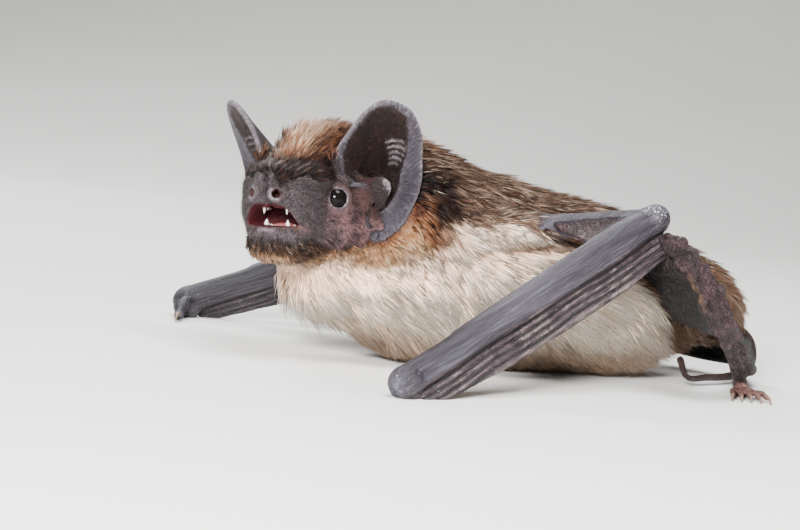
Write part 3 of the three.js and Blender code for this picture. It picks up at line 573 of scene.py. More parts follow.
def add_ear(clay, side):
    turns = np.linspace(0, 1, EAR_COLUMNS, endpoint=False)
    reaches = np.linspace(0.1, 0.97, EAR_ROWS)
    reach, turn = (value.ravel() for value in np.meshgrid(reaches, turns, indexing="ij"))
    rim = along(EAR_RIM, turn, closed=True)
    start = band_start(turn, rim)
    beyond = smooth(-0.03, 0.02, reach - start)
    thick = 0.28 - 0.04 * beyond
    centres = ear_point(side, reach, turn, 0.1 * beyond - thick)
    sheets = [(clay.beads(centres[chosen], thick[chosen]), part)
              for part, chosen in ((EAR, reach < start), (LOBE, reach >= start))]
    for beads, part in sheets:
        clay.add(*beads, blend=EAR_BLEND, part=part)
    edge = along(EAR_RIM, turns, closed=True)
    ledge = ear_point(side, band_start(turns, edge) + 0.012, turns, 0.05)
    clay.balls(ledge, 0.16, blend=0.08, part=LOBE)
    base = ear_point(side, np.full(9, 0.97), np.linspace(0.70, 0.78, 9), -0.25)
    clay.balls(base, 0.45, blend=0.3, part=HEAD_SKIN)
    root = on_side([(-6.4, 4.2, 3.6), (-5.9, 5.6, 1.2), (-5.6, 5.4, -1.6)], side)
    clay.cord(root, (1.6, 2.0, 1.5), blend=1.4, part=HEAD_SKIN)
    if side < 0:     # this ear is turned out, so the head reaches out to it
        reach = [(-5.4, 5.4, 4.9), (-6.3, 6.1, 3.4), (-6.2, 6.8, 1.4), (-5.6, 6.9, -0.6), (-4.9, 6.8, -2.2)]
        reach = on_side(reach, side)
        clay.cord(reach, (1.2, 1.5, 1.6, 1.5, 1.2), blend=0.9, part=HEAD_SKIN)
        front = on_side([(-3.6, 5.6, 3.9), (-3.3, 6.9, 3.3), (-3.0, 7.9, 3.0)], side)
        clay.cord(front, (1.1, 0.8, 0.5), blend=0.6, part=HEAD_SKIN)
    hollow_turns = np.concatenate([np.linspace(0.02, 0.46, 26), np.linspace(0.84, 0.98, 8)])
    reach, turn = np.meshgrid(np.linspace(0.08, 0.66, 12), hollow_turns)
    clay.hollow(ear_point(side, reach, turn, 0.95), 0.85, blend=0.25, part=EAR)
    for beads, part in sheets:      # the hollowing thins the steep wall of the bowl, so it is laid again
        clay.add(*beads, blend=EAR_BLEND, part=part)
    share = np.linspace(0, 1, 40)
    for row in range(5 if side > 0 else 3):      # pale cross ridges near the outer edge of the bowl
        reach = (0.5 - 0.055 * row) * (1 - share) + (0.665 - 0.045 * row) * share
        turn = (0.018 + 0.013 * row) * (1 - share) + (0.102 + 0.0145 * row) * share
        ridge = ear_point(side, reach, turn, 0.06)
        clay.balls(ridge, 0.14 + 0.07 * np.sin(share * math.pi), blend=0.03, part=RIDGE)


def add_tragus(clay, side):
    shift = EAR_POSE[side][1]
    share = np.linspace(0, 1, 28)
    middle = along(TRAGUS, share) + EAR_OUT * 0.45
    middle[:, 1] += shift
    half = np.interp(share, (0, 0.2, 0.4, 0.62, 0.8, 0.92, 1), (0.25, 0.45, 0.72, 0.95, 0.86, 0.55, 0.1))
    wide = unit((-EAR_OUT[1], EAR_OUT[0], 0.1))
    across = np.linspace(-1, 1, 13)
    belly = EAR_OUT * 0.25
    centres = (middle[:, None] + half[:, None, None] * across[None, :, None] * wide
               + (1 - across**2)[None, :, None] * belly)
    clay.balls(on_side(centres, side), 0.26, blend=0.12, part=TRAGUS_SKIN)
    rim = middle[12:] + half[12:, None] * wide + EAR_OUT * 0.2
    rim = np.concatenate([rim, (middle + EAR_OUT * 0.2 - half[:, None] * wide * 0.9)[-1:-6:-1]])
    rim = bead_line(on_side(rim, side), (0.16, 0.22, 0.24, 0.2, 0.12), 0.08)
    clay.balls(*rim, blend=0.06, part=TRAGUS_RIM)
    notch = on_side([(-3.4, 6.4, -1.6), (-3.6, 6.8, -2.4), (-3.8, 7.2, -3.2)], side)
    clay.cord(notch, (0.8, 0.9, 0.8), blend=0.5, part=HEAD_SKIN)


# ---- wings, legs and tail ----

def joints(limb, *names):
    return [np.array(limb[name], float) for name in names]


def blade_ways(limb, side):
    """The way the folded fingers lie below the forearm, and the way across the blade."""
    length = unit(np.subtract(limb["wrist"], limb["elbow"]))
    out = np.array([side * BLADE_FACE[0], BLADE_FACE[1], BLADE_FACE[2]])
    drop = unit(np.cross(out, length) * side)
    return drop, np.cross(length, drop)


def add_arm(clay, side):
    limb = LIMBS[side]
    shoulder, elbow, wrist = joints(limb, "shoulder", "elbow", "wrist")
    drop, aside = blade_ways(limb, side)
    upper = [shoulder, between(shoulder, elbow, 0.5), between(shoulder, elbow, 0.96)]
    clay.cord(upper, (1.9, 1.35, 1.25), blend=1.0, part=ARM)
    t = np.linspace(0, 1, 190)
    thick = np.interp(t, (0, 0.04, 0.12, 0.3, 0.6, 0.85, 0.95, 1),
                      (1.3, 1.2, 1.45, 1.5, 1.25, 1.1, 1.25, 1.3))
    spread = np.interp(t, (0, 0.1, 0.3, 0.7, 1), (0.3, 0.5, 0.55, 0.55, 0.4))
    for row in (-1, 0, 1):
        clay.balls(between(elbow, wrist, t) + drop * (row * spread)[:, None], thick, blend=0.4, part=ARM)
    tendon = between(elbow, wrist, t[10:150]) - drop * 0.9 + aside * 0.5 * np.cos(3 * t[10:150])[:, None]
    clay.balls(tendon, 0.75, blend=0.5, part=ARM)
    knobs = [elbow + (0, 0.3, 0.3), elbow + aside * 0.7 + drop * 0.5, wrist + drop * 0.5,
             wrist + (0, -0.6, -0.2),
             wrist + aside * 0.8, wrist - aside * 0.8, (wrist[0], wrist[1] - 0.2, 1.35)]
    clay.balls(knobs, (1.55, 0.9, 1.3, 1.5, 1.0, 1.0, 1.75), blend=0.6, part=ARM)
    add_thumb(clay, limb, wrist)
    add_fingers(clay, elbow, wrist, drop, aside)
    lift = np.array([0, 0, 0.9])
    web = bead_sheet(lambda u, v: mix(between(elbow, shoulder, 0.05 + 0.5 * u),
                                               between(elbow, wrist, 0.05 + 0.19 * u), v) + lift, 0.28)
    clay.balls(*web, blend=0.7, part=MEMBRANE)


def add_thumb(clay, limb, wrist):
    x, y = limb["thumb"]
    tip = np.array([wrist[0] + x * 5.7, wrist[1] + y * 5.7, 0.75])
    path = [wrist + (x * 1.2, y * 1.2, -0.1), wrist + (x * 3.4, y * 3.4, -0.2), tip]
    clay.cord(path, (0.85, 0.6, 0.72, 0.5, 0.62), blend=0.5, part=ARM)


def add_fingers(clay, elbow, wrist, drop, aside):
    """Four folded fingers and the skin that binds them, as a ridged blade below the forearm."""
    t = np.linspace(0.01, 0.985, 180)
    fan = np.interp(t, *FINGER_FAN)
    for finger in range(FINGERS):
        down = FINGER_DOWN + FINGER_STEP * finger
        sway = 0.06 * np.sin(9 * t + 2.1 * finger) + 0.1 * np.sin(3.1 * t + finger)
        knuckle = 0.14 * np.exp(-((t - 0.52 - 0.07 * finger) / 0.018) ** 2)
        centres = between(elbow, wrist, t) + drop * (down * fan + sway)[:, None]
        centres += aside * (0.12 * np.sin(5 * t + 1.7 * finger))[:, None]
        clay.balls(centres, 0.4 + knuckle - 0.06 * (finger == 3), blend=0.08, part=FINGER)
    low, high = FINGER_DOWN - FINGER_STEP, FINGER_DOWN + FINGER_STEP * (FINGERS - 0.45)

    def web(u, v):
        share = 0.01 + 0.975 * u
        reach = np.interp(share, *FINGER_FAN)
        ripple = 0.14 * np.sin(9 * v + 4 * u) * np.sin(14 * u)
        return (between(elbow, wrist, share) + drop * ((low + (high - low) * v) * reach)[..., None]
                + aside * ripple[..., None])

    clay.balls(*bead_sheet(web, 0.17), blend=0.12, part=FINGER)


def gather_path(limb, side):
    """The middle of the gathered wing skin that hangs from the elbow, past the knee, to the ankle."""
    elbow, knee, ankle = joints(limb, "elbow", "knee", "ankle")
    return [elbow + (side * 0.6, 1.4, -1.8), knee + (side * 1.8, -3.6, 4.2), knee + (side * 2.7, 0.2, -1.6),
            ankle + (side * 2.7, -0.9, 1.4)]


def add_side_membrane(clay, side):
    limb = LIMBS[side]
    path = gather_path(limb, side)
    t = np.linspace(0, 1, 150)
    middle = along(path, t)
    length = unit(np.gradient(middle, axis=0))
    across = np.array([side * 0.2, 1, 0.3])
    across = unit(across - length * (length @ across)[:, None])
    deep = np.cross(length, across)
    width = np.interp(t, np.linspace(0, 1, 7), (1.2, 1.4, 1.1, 1.5, 1.3, 1.1, 0.9))
    for strand in range(6):
        place = -0.78 + 0.312 * strand
        sway = 0.16 * np.sin(17 * t + 2.4 * strand) + 0.1 * np.sin(41 * t + strand)
        centres = middle + across * (width * place + 0.5 * sway)[:, None] + deep * (sway * 1.1)[:, None]
        lump = 0.37 + 0.2 * np.sin(71 * t + 3.3 * strand) * np.sin(23 * t + 1.7 * strand)
        clay.balls(centres, lump, blend=0.12, part=MEMBRANE)

    def fold(u, v):
        y = 17 + 6 * u
        middle_z, wide, high = np.moveaxis(spline(TRUNK, y), -1, 0)
        height = 0.55 - 0.9 * u
        flank = np.stack([side * (wide - 1.2) * np.sqrt(1 - height**2), y, middle_z + (high - 1) * height],
                         -1)
        edge = along(path, (0.04 + 0.72 * u).ravel()).reshape(u.shape + (3,))
        pleat = 0.22 * np.sin(12 * u + 2 * v) * np.sin(math.pi * v)
        return mix(edge, flank, v) + np.stack([0 * u, pleat, pleat], -1)

    clay.balls(*bead_sheet(fold, 0.28), blend=0.5, part=MEMBRANE)


def add_leg(clay, side):
    limb = LIMBS[side]
    hip, knee, ankle = joints(limb, "hip", "knee", "ankle")
    thigh = [hip, between(hip, knee, 0.5), knee]
    clay.cord(thigh, (2.4, 1.9, 1.6, 1.2, 1.15), blend=1.2, part=LEG)
    shin = [knee, between(knee, ankle, 0.5) + (0, 0.3, 0), ankle]
    clay.cord(shin, (1.1, 1.05, 0.85, 0.75, 0.8), blend=0.5, part=LEG)
    add_foot(clay, limb)
    tail = along(TAIL, np.linspace(0, 1, 200))
    last = len(tail) - 1

    def web(u, v):
        root = tail[np.clip(((0.12 + 0.22 * u) * last).astype(int), 0, last)]
        sag = np.array([0, 1.2, -0.5]) * np.sin(math.pi * v)[..., None]
        ripple = np.stack([0.12 * np.sin(16 * v), 0.15 * np.sin(11 * v + 5 * u), 0.1 * np.sin(13 * u)], -1)
        return mix(root, between(knee, ankle, 0.4 + 0.45 * u), v) + sag + ripple

    clay.balls(*bead_sheet(web, lambda u, v: 0.27 + 0.16 * smooth(0.86, 1, u)), blend=0.4, part=MEMBRANE)


def foot_ways(limb):
    """The spot below the ankle, the way the foot points and the way across it."""
    x, y = unit(limb["toes"])
    return np.array(limb["ankle"], float) * (1, 1, 0), np.array([x, y, 0]), np.array([-y, x, 0])


def toe_paths(limb):
    """The middle lines of the five toes, from the sole to the root of the claw."""
    ground, way, aside = foot_ways(limb)
    for spread in (-0.6, -0.3, 0, 0.3, 0.6):
        yield [ground + way * reach + aside * spread * wide + (0, 0, height)
               for reach, wide, height in ((2.6, 2.2, 0.6), (4.0, 2.7, 0.78), (5.2, 3.0, 0.72),
                                           (6.1, 3.3, 0.5))]


def add_foot(clay, limb):
    ground, way, aside = foot_ways(limb)
    rows = [(-0.5, 0, 0.85, 0.75), (0.4, 0, 0.8, 0.75), (1.4, 0.35, 0.65, 0.62), (1.4, -0.35, 0.65, 0.62),
            (2.4, 0.75, 0.55, 0.52), (2.4, 0, 0.6, 0.58), (2.4, -0.75, 0.55, 0.52)]
    centres = [ground + way * reach + aside * off + (0, 0, high) for reach, off, high, _ in rows]
    clay.balls(centres, [row[3] for row in rows], blend=0.5, part=FOOT)
    for path in toe_paths(limb):
        clay.cord(path, (0.36, 0.3, 0.38, 0.28, 0.33, 0.24), blend=0.15, part=FOOT, step=0.15)


def add_tail(clay):
    clay.cord(TAIL, (1.3, 0.9, 0.62, 0.5, 0.42, 0.34, 0.44), blend=0.6, part=TAIL_SKIN)


def make_clay():
    clay = Clay((-32, -30.4, -0.6), (32.4, 41, 31.4))
    add_trunk(clay)
    add_head(clay)
    add_tail(clay)
    for side in (1, -1):
        add_arm(clay, side)
        add_side_membrane(clay, side)
        add_leg(clay, side)
        add_ear(clay, side)
        add_tragus(clay, side)
    floor = np.broadcast_to(-clay.axes[2][None, None, :], clay.depth.shape)
    np.maximum(clay.depth, floor, out=clay.depth)
    return clay


def read_clay(clay, points):
    """Depth of the clay at any points, read between the points of its grid."""
    place = (np.asarray(points) - clay.low) / VOXEL
    cell = np.clip(np.floor(place).astype(int), 0, np.array(clay.depth.shape) - 2)
    share = np.clip(place - cell, 0, 1)
    i, j, k = cell.T
    a, b, c = share.T
    total = 0
    for di, wi in ((0, 1 - a), (1, a)):
        for dj, wj in ((0, 1 - b), (1, b)):
            for dk, wk in ((0, 1 - c), (1, c)):
                total = total + clay.depth[i + di, j + dj, k + dk] * wi * wj * wk
    return total


def clay_way(clay, points, step=0.3):
    """The outward way of the clay at any points."""
    ways = [read_clay(clay, points + np.eye(3)[i] * step) - read_clay(clay, points - np.eye(3)[i] * step)
            for i in range(3)]
    return unit(np.stack(ways, axis=-1))


def part_at(clay, points):
    cell = np.clip(np.round((points - clay.low) / VOXEL).astype(int), 0, np.array(clay.part.shape) - 1)
    return clay.part[cell[:, 0], cell[:, 1], cell[:, 2]]


# ---- skin mesh ----

def fill_mesh(name, points, faces, smooth_shaded=True):
    """A mesh of points in millimetres of the body frame, and faces that all have as many corners."""
    mesh = bpy.data.meshes.new(name)
    faces = np.asarray(faces, np.int32)
    count, corners = faces.shape
    mesh.vertices.add(len(points))
    mesh.vertices.foreach_set("co", ((points + SHIFT) * MM).astype(np.float32).ravel())
    mesh.loops.add(count * corners)
    mesh.loops.foreach_set("vertex_index", faces.ravel())
    mesh.polygons.add(count)
    mesh.polygons.foreach_set("loop_start", np.arange(0, count * corners, corners, dtype=np.int32))
    mesh.polygons.foreach_set("loop_total", np.full(count, corners, np.int32))
    mesh.polygons.foreach_set("use_smooth", np.full(count, smooth_shaded))
    mesh.update(calc_edges=True)
    return mesh


def body_points(mesh):
    """The mesh's points in millimetres of the body frame."""
    points = np.empty(len(mesh.vertices) * 3, np.float32)
    mesh.vertices.foreach_get("co", points)
    return points.reshape(-1, 3).astype(float) / MM - SHIFT


def triangles_of(mesh):
    mesh.calc_loop_triangles()
    corners = np.empty(len(mesh.loop_triangles) * 3, np.int32)
    mesh.loop_triangles.foreach_get("vertices", corners)
    return corners.reshape(-1, 3)


def largest_piece(count, faces):
    """Which points hang together with the most others."""
    label = np.arange(count)
    ends = np.concatenate([faces[:, [0, 1]], faces[:, [1, 2]]])
    while True:
        low = label.copy()
        least = np.minimum(label[ends[:, 0]], label[ends[:, 1]])
        np.minimum.at(low, ends[:, 0], least)
        np.minimum.at(low, ends[:, 1], least)
        low = low[low]
        if (low == label).all():
            break
        label = low
    return label == np.bincount(label).argmax()


def make_object(mesh):
    piece = bpy.data.objects.new(mesh.name, mesh)
    bpy.context.scene.collection.objects.link(piece)
    return piece


def add_attribute(mesh, name, kind, values):
    layer = mesh.attributes.new(name, kind, "POINT")
    if kind == "FLOAT_COLOR":
        values = np.concatenate([values, np.ones((len(values), 1))], axis=1)
        layer.data.foreach_set("color", values.astype(np.float32).ravel())
    elif kind == "FLOAT_VECTOR":
        layer.data.foreach_set("vector", values.astype(np.float32).ravel())
    else:
        layer.data.foreach_set("value", np.asarray(values, np.float32))


def skin_mesh(clay):
    """The clay's surface, thinned where it is smooth, without closed hollows inside."""
    grid = openvdb.FloatGrid(3.0)
    grid.copyFromArray(clay.depth)
    points, _, quads = grid.convertToPolygons(isovalue=0.0, adaptivity=0.0)
    points = points * VOXEL + clay.low
    fine = make_object(fill_mesh("fine_skin", points, quads[:, ::-1]))
    fine.data.transform(Matrix.Scale(1 / MM, 4))     # the thinning weighs its cost in whole units of length
    thin = fine.modifiers.new("thin", "DECIMATE")
    thin.ratio = SKIN_TRIANGLES / (2 * len(quads))
    shape = fine.evaluated_get(bpy.context.evaluated_depsgraph_get())
    thinned = bpy.data.meshes.new_from_object(shape)
    thinned.transform(Matrix.Scale(MM, 4))
    faces = triangles_of(thinned)
    points = body_points(thinned)
    kept = largest_piece(len(points), faces)
    renumber = np.cumsum(kept) - 1
    faces = renumber[faces[kept[faces[:, 0]]]]
    bpy.data.objects.remove(fine)
    bpy.data.meshes.remove(thinned)
    return fill_mesh("bat_skin", points[kept], faces)


# ---- colours of skin and coat ----

def paint(red, green, blue):
    """A colour as it looks on screen, from 0 to 255, made linear."""
    return (np.array([red, green, blue]) / 255) ** 2.2


BACK_ROOT, BACK_TIP, SILVER_TIP = paint(34, 18, 12), paint(112, 74, 52), paint(226, 196, 172)
BAND_ROOT, BAND_TIP = paint(12, 6, 5), paint(56, 34, 26)
RUMP_ROOT, RUMP_TIP = paint(40, 22, 16), paint(160, 120, 96)
BELLY_ROOT, BELLY_TIP = paint(230, 192, 164), paint(255, 240, 219)
FRINGE_ROOT, FRINGE_TIP = paint(124, 98, 84), paint(206, 178, 154)
COLLAR_ROOT, COLLAR_TIP = paint(122, 84, 56), paint(244, 208, 166)
CROWN_ROOT, CROWN_TIP = paint(30, 14, 8), paint(130, 84, 56)
CREAM_TIP, NAPE_TIP = paint(240, 212, 178), paint(132, 96, 74)
CHEEK_ROOT, CHEEK_TIP = paint(60, 32, 20), paint(176, 120, 84)
BROW_ROOT, BROW_TIP, CHIN_TIP = paint(12, 5, 3), paint(58, 30, 20), paint(92, 62, 46)
GRIZZLE = paint(152, 124, 108)
FACE_DARK, FACE_GREY, FACE_PINK = paint(18, 12, 12), paint(66, 56, 60), paint(112, 78, 76)
FACE_BROWN, CHEEK_RED = paint(70, 48, 48), paint(140, 98, 98)
ARM_GREY, ARM_DARK = paint(88, 85, 96), paint(32, 28, 33)
FINGER_GROOVE_SHADE, FINGER_MAUVE, FINGER_PALE_AND_HIGHLIGHT = paint(16, 11, 13), paint(64, 53, 60), paint(172, 152, 150)
WEB_DARK, WEB_MAUVE, WEB_PAINTED_SHADE = paint(20, 12, 12), paint(76, 56, 60), paint(11, 6, 5)
EAR_DARK, EAR_BROWN, CANAL_RED = paint(12, 8, 8), paint(46, 27, 22), paint(66, 40, 37)
RIM_GREY, RIM_PALE, EAR_BACK = paint(82, 78, 88), paint(168, 160, 166), paint(42, 30, 30)
TRAGUS_GREY, LIP_MAUVE, LID_GREY = paint(40, 30, 30), paint(112, 98, 104), paint(70, 56, 60)
NOSE_GREY, MOUTH_RED, NOSTRIL_DARK = paint(72, 62, 66), paint(78, 24, 32), paint(48, 16, 12)
LIT_FUR_STRIP_ORANGE = paint(140, 104, 76)
TOE_PINK, LEG_BROWN = paint(110, 80, 74), paint(52, 34, 30)


def wander(points, size, seed):
    """A smooth even variation between -1 and 1 with lumps of about the given size."""
    random = np.random.default_rng(seed)
    total = 0
    for _ in range(7):
        way = random.normal(size=3)
        way *= 2 * math.pi / (size * 1.6) * random.uniform(0.6, 1.5) / np.linalg.norm(way)
        total = total + np.sin(points @ way + random.uniform(0, 2 * math.pi))
    return total / 3.2


def coat_marks(points):
    """Shares of the coat's markings at any points of the body: a dictionary of masks from 0 to 1."""
    y, z = points[:, 1], points[:, 2]
    f, l, u = to_head(points).T
    on_head = smooth(-10.5, -6.5, f) * smooth(-8.6, -6.4, u + 0.12 * f)
    ragged = 0.9 * wander(points, 3.2, 11) + 0.5 * wander(points, 1.4, 12)
    divide = np.interp(y, DIVIDE[:, 0], DIVIDE[:, 1])
    under = smooth(0.45, -0.45, z - divide + 0.7 * ragged)
    collar = sum(smooth(2.5, 1.1, np.linalg.norm(points - spot, axis=1) + 0.3 * ragged) for spot in COLLAR)
    band = (smooth(-1.4, -3.8, y + 0.5 * ragged) * smooth(24.5, 21.0, z + 0.6 * ragged)
            * smooth(-7.1, -8.3, f + 0.25 * ragged))
    trunk = 1 - on_head
    over = u - brow_line(f)
    below = u - np.interp(f, (-4, -2, 0, 2, 4, 6), (-5.8, -5.9, -6.3, -7.0, -7.6, -7.2)) + 0.3 * ragged
    return {
        "head": on_head, "under": under * trunk, "collar": np.clip(collar, 0, 1) * smooth(-9.0, -7.6, f),
        "band": band * (1 - under), "nape": smooth(-2.0, -6.0, y) * smooth(20.5, 23.5, z) * trunk,
        "rump": smooth(24, 33, y), "fringe": under * smooth(4.0, 1.4, z) * trunk,
        "brow": on_head * smooth(3.2, 2.2, over - 0.35 * ragged) * smooth(-4.5, -1.0, f) * (u > -3),
        "cream": on_head * 0.8 * smooth(2.6, 5.0, over + 0.4 * ragged) * smooth(-6.5, -1.0, f)
        * smooth(3.6, 0.8, np.abs(l) + 0.4 * ragged),
        "chin": smooth(-3.5, -4.4, u) * smooth(-4.5, -1.5, f) * on_head,
        "cheek": on_head * smooth(1.0, -1.5, u) * smooth(-1.0, -4.0, f),
        "jaw": on_head * smooth(0.35, -0.35, below), "throat": on_head * smooth(-0.7, -1.4, below),
    }


def coat_colours(points):
    """The colour at the root and at the tip of the coat at any points of the body."""
    marks = coat_marks(points)
    patch = patches(points, 1.7, 5)
    root = np.tile(BACK_ROOT, (len(points), 1))
    tip = mix(BACK_TIP, SILVER_TIP, 0.02 + 0.5 * patch)
    looks = {
        "rump": (RUMP_ROOT, RUMP_TIP), "nape": (BACK_ROOT, NAPE_TIP),
        "under": (BELLY_ROOT, BELLY_TIP), "fringe": (FRINGE_ROOT, FRINGE_TIP),
        "head": (CROWN_ROOT, CROWN_TIP),
        "cream": (CROWN_TIP, CREAM_TIP), "cheek": (CHEEK_ROOT, CHEEK_TIP), "brow": (BROW_ROOT, BROW_TIP),
        "chin": (BROW_ROOT, CHIN_TIP), "jaw": (COLLAR_ROOT, COLLAR_TIP), "throat": (BELLY_ROOT, BELLY_TIP),
        "band": (BAND_ROOT, BAND_TIP), "collar": (COLLAR_ROOT, COLLAR_TIP),
    }
    for mask, (low, high) in looks.items():
        root = mix(root, low, marks[mask])
        tip = mix(tip, high, marks[mask])
    return root, tip


# ---- coat ----

def lie_of_coat(points, outward):
    """The way the coat runs over the body at any points, not yet laid against the skin."""
    x, y = points[:, 0], points[:, 1]
    f, l, u = to_head(points).T
    side = np.sign(x)
    flank = smooth(3.0, 9.0, np.abs(x))
    rear = smooth(24, 34, y)
    trunk = np.stack([side * (0.35 - 0.3 * flank), np.ones_like(y), -0.15 - 0.5 * flank - 1.3 * rear],
                     axis=-1)
    low = smooth(0.1, -0.7, outward[:, 2])[:, None]
    trunk = trunk * (1 - low) + np.array([0, 0.8, -0.6]) * low
    side = np.sign(l)
    high = smooth(-1.5, 4.5, u)
    nape = smooth(-4.5, -9.0, f)
    head = np.stack([-np.ones_like(f), side * (0.12 + 0.1 * high),
                     0.55 * high * (1 - nape) - 0.55 * (1 - high)
                     - 0.5 * nape], axis=-1)
    share = smooth(-11.0, -7.0, f) * smooth(-9.6, -7.0, u)
    return unit(mix(trunk, head @ HEAD, share))


def coat_size(points):
    """Length of the coat and how steeply it stands, in degrees, at any points."""
    marks = coat_marks(points)
    y = points[:, 1]
    f, _, u = to_head(points).T
    length = 3.4 + 1.5 * marks["under"] - 0.5 * smooth(26, 34, y)
    stand = np.full(len(points), 19.0) + 14 * marks["fringe"] + 2 * marks["under"]
    head = marks["head"]
    length = mix_values(length, 2.4 + 0.2 * smooth(2.5, 7.5, u), head)
    stand = mix_values(stand, 22 + 6 * smooth(4.5, 8.5, u) * smooth(-7, -1, f), head)
    over = u - brow_line(f)
    brow = head * smooth(3.2, 1.4, over) * smooth(-4.0, -1.5, f)
    length = mix_values(length, 1.5, brow)
    jaw = head * smooth(-3.6, -4.6, u) * smooth(-6.0, -3.0, f)
    length = mix_values(length, 1.1, jaw)
    stand = mix_values(stand, 20.0, np.maximum(brow, jaw))
    return length, stand


def brow_line(f):
    """Height of the lower edge of the forehead's coat."""
    return np.interp(f, (-4, -2, 0, 1.6, 4, 6, 8), (4.2, 3.1, 2.2, 1.6, 1.4, 1.3, 1.2))


def coat_cover(points):
    """How thick the coat is at any points of the trunk and head, from 0 on bare skin to 1."""
    f, l, u = to_head(points).T
    on_face = smooth(-6.7, -6.0, f + 0.35 * np.maximum(u - 2, 0))
    jaw = np.interp(f, (-6.2, -4.5, -3, 0, 3, 6, 8), (-2.5, -4.2, -5.2, -5.4, -5.0, -4.6, -4.5))
    upper = smooth(0.0, 0.9, u - brow_line(f) + 0.55 * wander(points, 1.1, 21))
    upper *= 1 - smooth(5.2, 5.8, np.abs(l)) * smooth(5.4, 4.2, u)
    below = smooth(0.1, -0.8, u - jaw + 0.35 * wander(points, 1.1, 22))
    return np.clip(1 - on_face * (1 - np.maximum(upper, below)), 0, 1) * (1 - in_bowl(points))


def in_bowl(points, deepest=-2.4):
    """1 on skin inside the bowl of an ear, 0 elsewhere."""
    out, wide, tall = ear_frame(points)
    from_canal = np.hypot(wide, tall)
    return smooth(deepest, deepest + 0.8, out) * smooth(4.2, 3.2, out) * smooth(3.9, 3.3, from_canal)


def first_in_cells(points, size):
    """The number of the first point in every cell of space that holds any."""
    cell = np.floor(points / size).astype(np.int64)
    key = (cell[:, 0] * CELLS_ACROSS + cell[:, 1]) * CELLS_ACROSS + cell[:, 2]
    return np.unique(key, return_index=True)[1]


def even_roots(points, faces, wanted, random):
    """Points spread evenly over some faces: one from each small cell of space."""
    corners = points[faces]
    area = np.linalg.norm(np.cross(corners[:, 1] - corners[:, 0], corners[:, 2] - corners[:, 0]), axis=1) / 2
    chosen = random.choice(len(faces), size=int(wanted * 3), p=area / area.sum())
    a, b = random.random((2, len(chosen), 1))
    flip = a + b > 1
    a, b = np.where(flip, 1 - a, a), np.where(flip, 1 - b, b)
    corner = corners[chosen]
    spots = corner[:, 0] + a * (corner[:, 1] - corner[:, 0]) + b * (corner[:, 2] - corner[:, 0])
    cell = math.sqrt(area.sum() / wanted) * 0.98
    return spots[np.sort(first_in_cells(spots, cell))]


def clump_to(points, spacing, random):
    """For every root the number of the clump it belongs to, with clumps about spacing apart."""
    order = random.permutation(len(points))
    middles = order[first_in_cells(points[order], spacing)]
    return middles, nearest_of(points[middles], points)[0]


def uneven(random, groups, spreads, start=0):
    """Random steps from start: first those that tufts share with their clumps, then each tuft's own."""
    steps = (random.normal(0, spread, count)[which] for (count, which), spread in zip(groups, spreads))
    return sum(steps, start)


def comb_coat(clay, roots, random):
    """The middle lines of the tufts at the roots, as three points each, with the outward way at each root
    and the clump it belongs to.
    """
    outward = clay_way(clay, roots, 0.6)
    lie = lie_of_coat(roots, outward)
    lie = unit(lie - outward * (lie * outward).sum(1, keepdims=True))
    aside = np.cross(outward, lie)
    middles, clump = clump_to(roots, SMALL_CLUMP, random)
    big_middles, big = clump_to(roots, BIG_CLUMP, random)
    small, large, own = (len(middles), clump), (len(big_middles), big), (len(roots), slice(None))
    turn = np.radians(uneven(random, (small, large, own), TURN_SPREAD))[:, None]
    lie = lie * np.cos(turn) + aside * np.sin(turn)
    length, stand = coat_size(roots)
    length = np.where(on_sleeve(roots), SLEEVE_COAT, length)
    stand = np.where(on_sleeve(roots), SLEEVE_STAND, stand)
    stand = stand * uneven(random, (small, large, own), STAND_SPREAD, 1)
    length = length * uneven(random, (small, own), LENGTH_SPREAD, 1)
    length, stand = length[:, None], np.radians(np.clip(stand, 4, 80))[:, None]
    first, last = stand * 1.45, stand * 0.62
    bend = roots - outward * 0.12 + length * 0.42 * (np.cos(first) * lie + np.sin(first) * outward)
    tip = bend + length * 0.58 * (np.cos(last) * lie + np.sin(last) * outward)
    pull = (0.25 + 0.35 * random.random(len(roots)))[:, None]
    tip = tip + (tip[middles][clump] - tip) * pull
    bend = bend + (bend[middles][clump] - bend) * pull * 0.45
    return np.stack([roots - outward * 0.15, bend, tip], axis=1), outward, clump


def before_ear(points):
    """Whether each point lies in front of the sheet of an ear, within its rim."""
    out, wide, tall = ear_frame(points)
    ways = np.array([unit(np.cross(EAR_OUT, (0, 0, 1))), (0, 0, 1)])
    rim_wide, rim_tall = ways @ (EAR_RIM - EAR_CANAL).T
    order = np.argsort(np.arctan2(rim_tall, rim_wide))
    rim_turn, rim_size = np.arctan2(rim_tall, rim_wide)[order], np.hypot(rim_wide, rim_tall)[order]
    reach = np.interp(np.arctan2(tall, wide), rim_turn, rim_size, period=2 * math.pi)
    share = np.hypot(wide, tall) / reach
    sheet = -EAR_DEPTH * np.cos(np.minimum(share / 0.8, 1) * math.pi / 2) ** 1.4
    return (share < 0.97) & (out > sheet - 0.75) & (out < 5)


SLEEVE = {"out": 8.2, "front": -4, "low": 14.5}


def on_sleeve(points):
    """Whether each point lies on the furred part of an upper arm, out from the trunk."""
    x, y, z = points.T
    return (np.abs(x) > SLEEVE["out"]) & (y > SLEEVE["front"]) & (z > SLEEVE["low"])


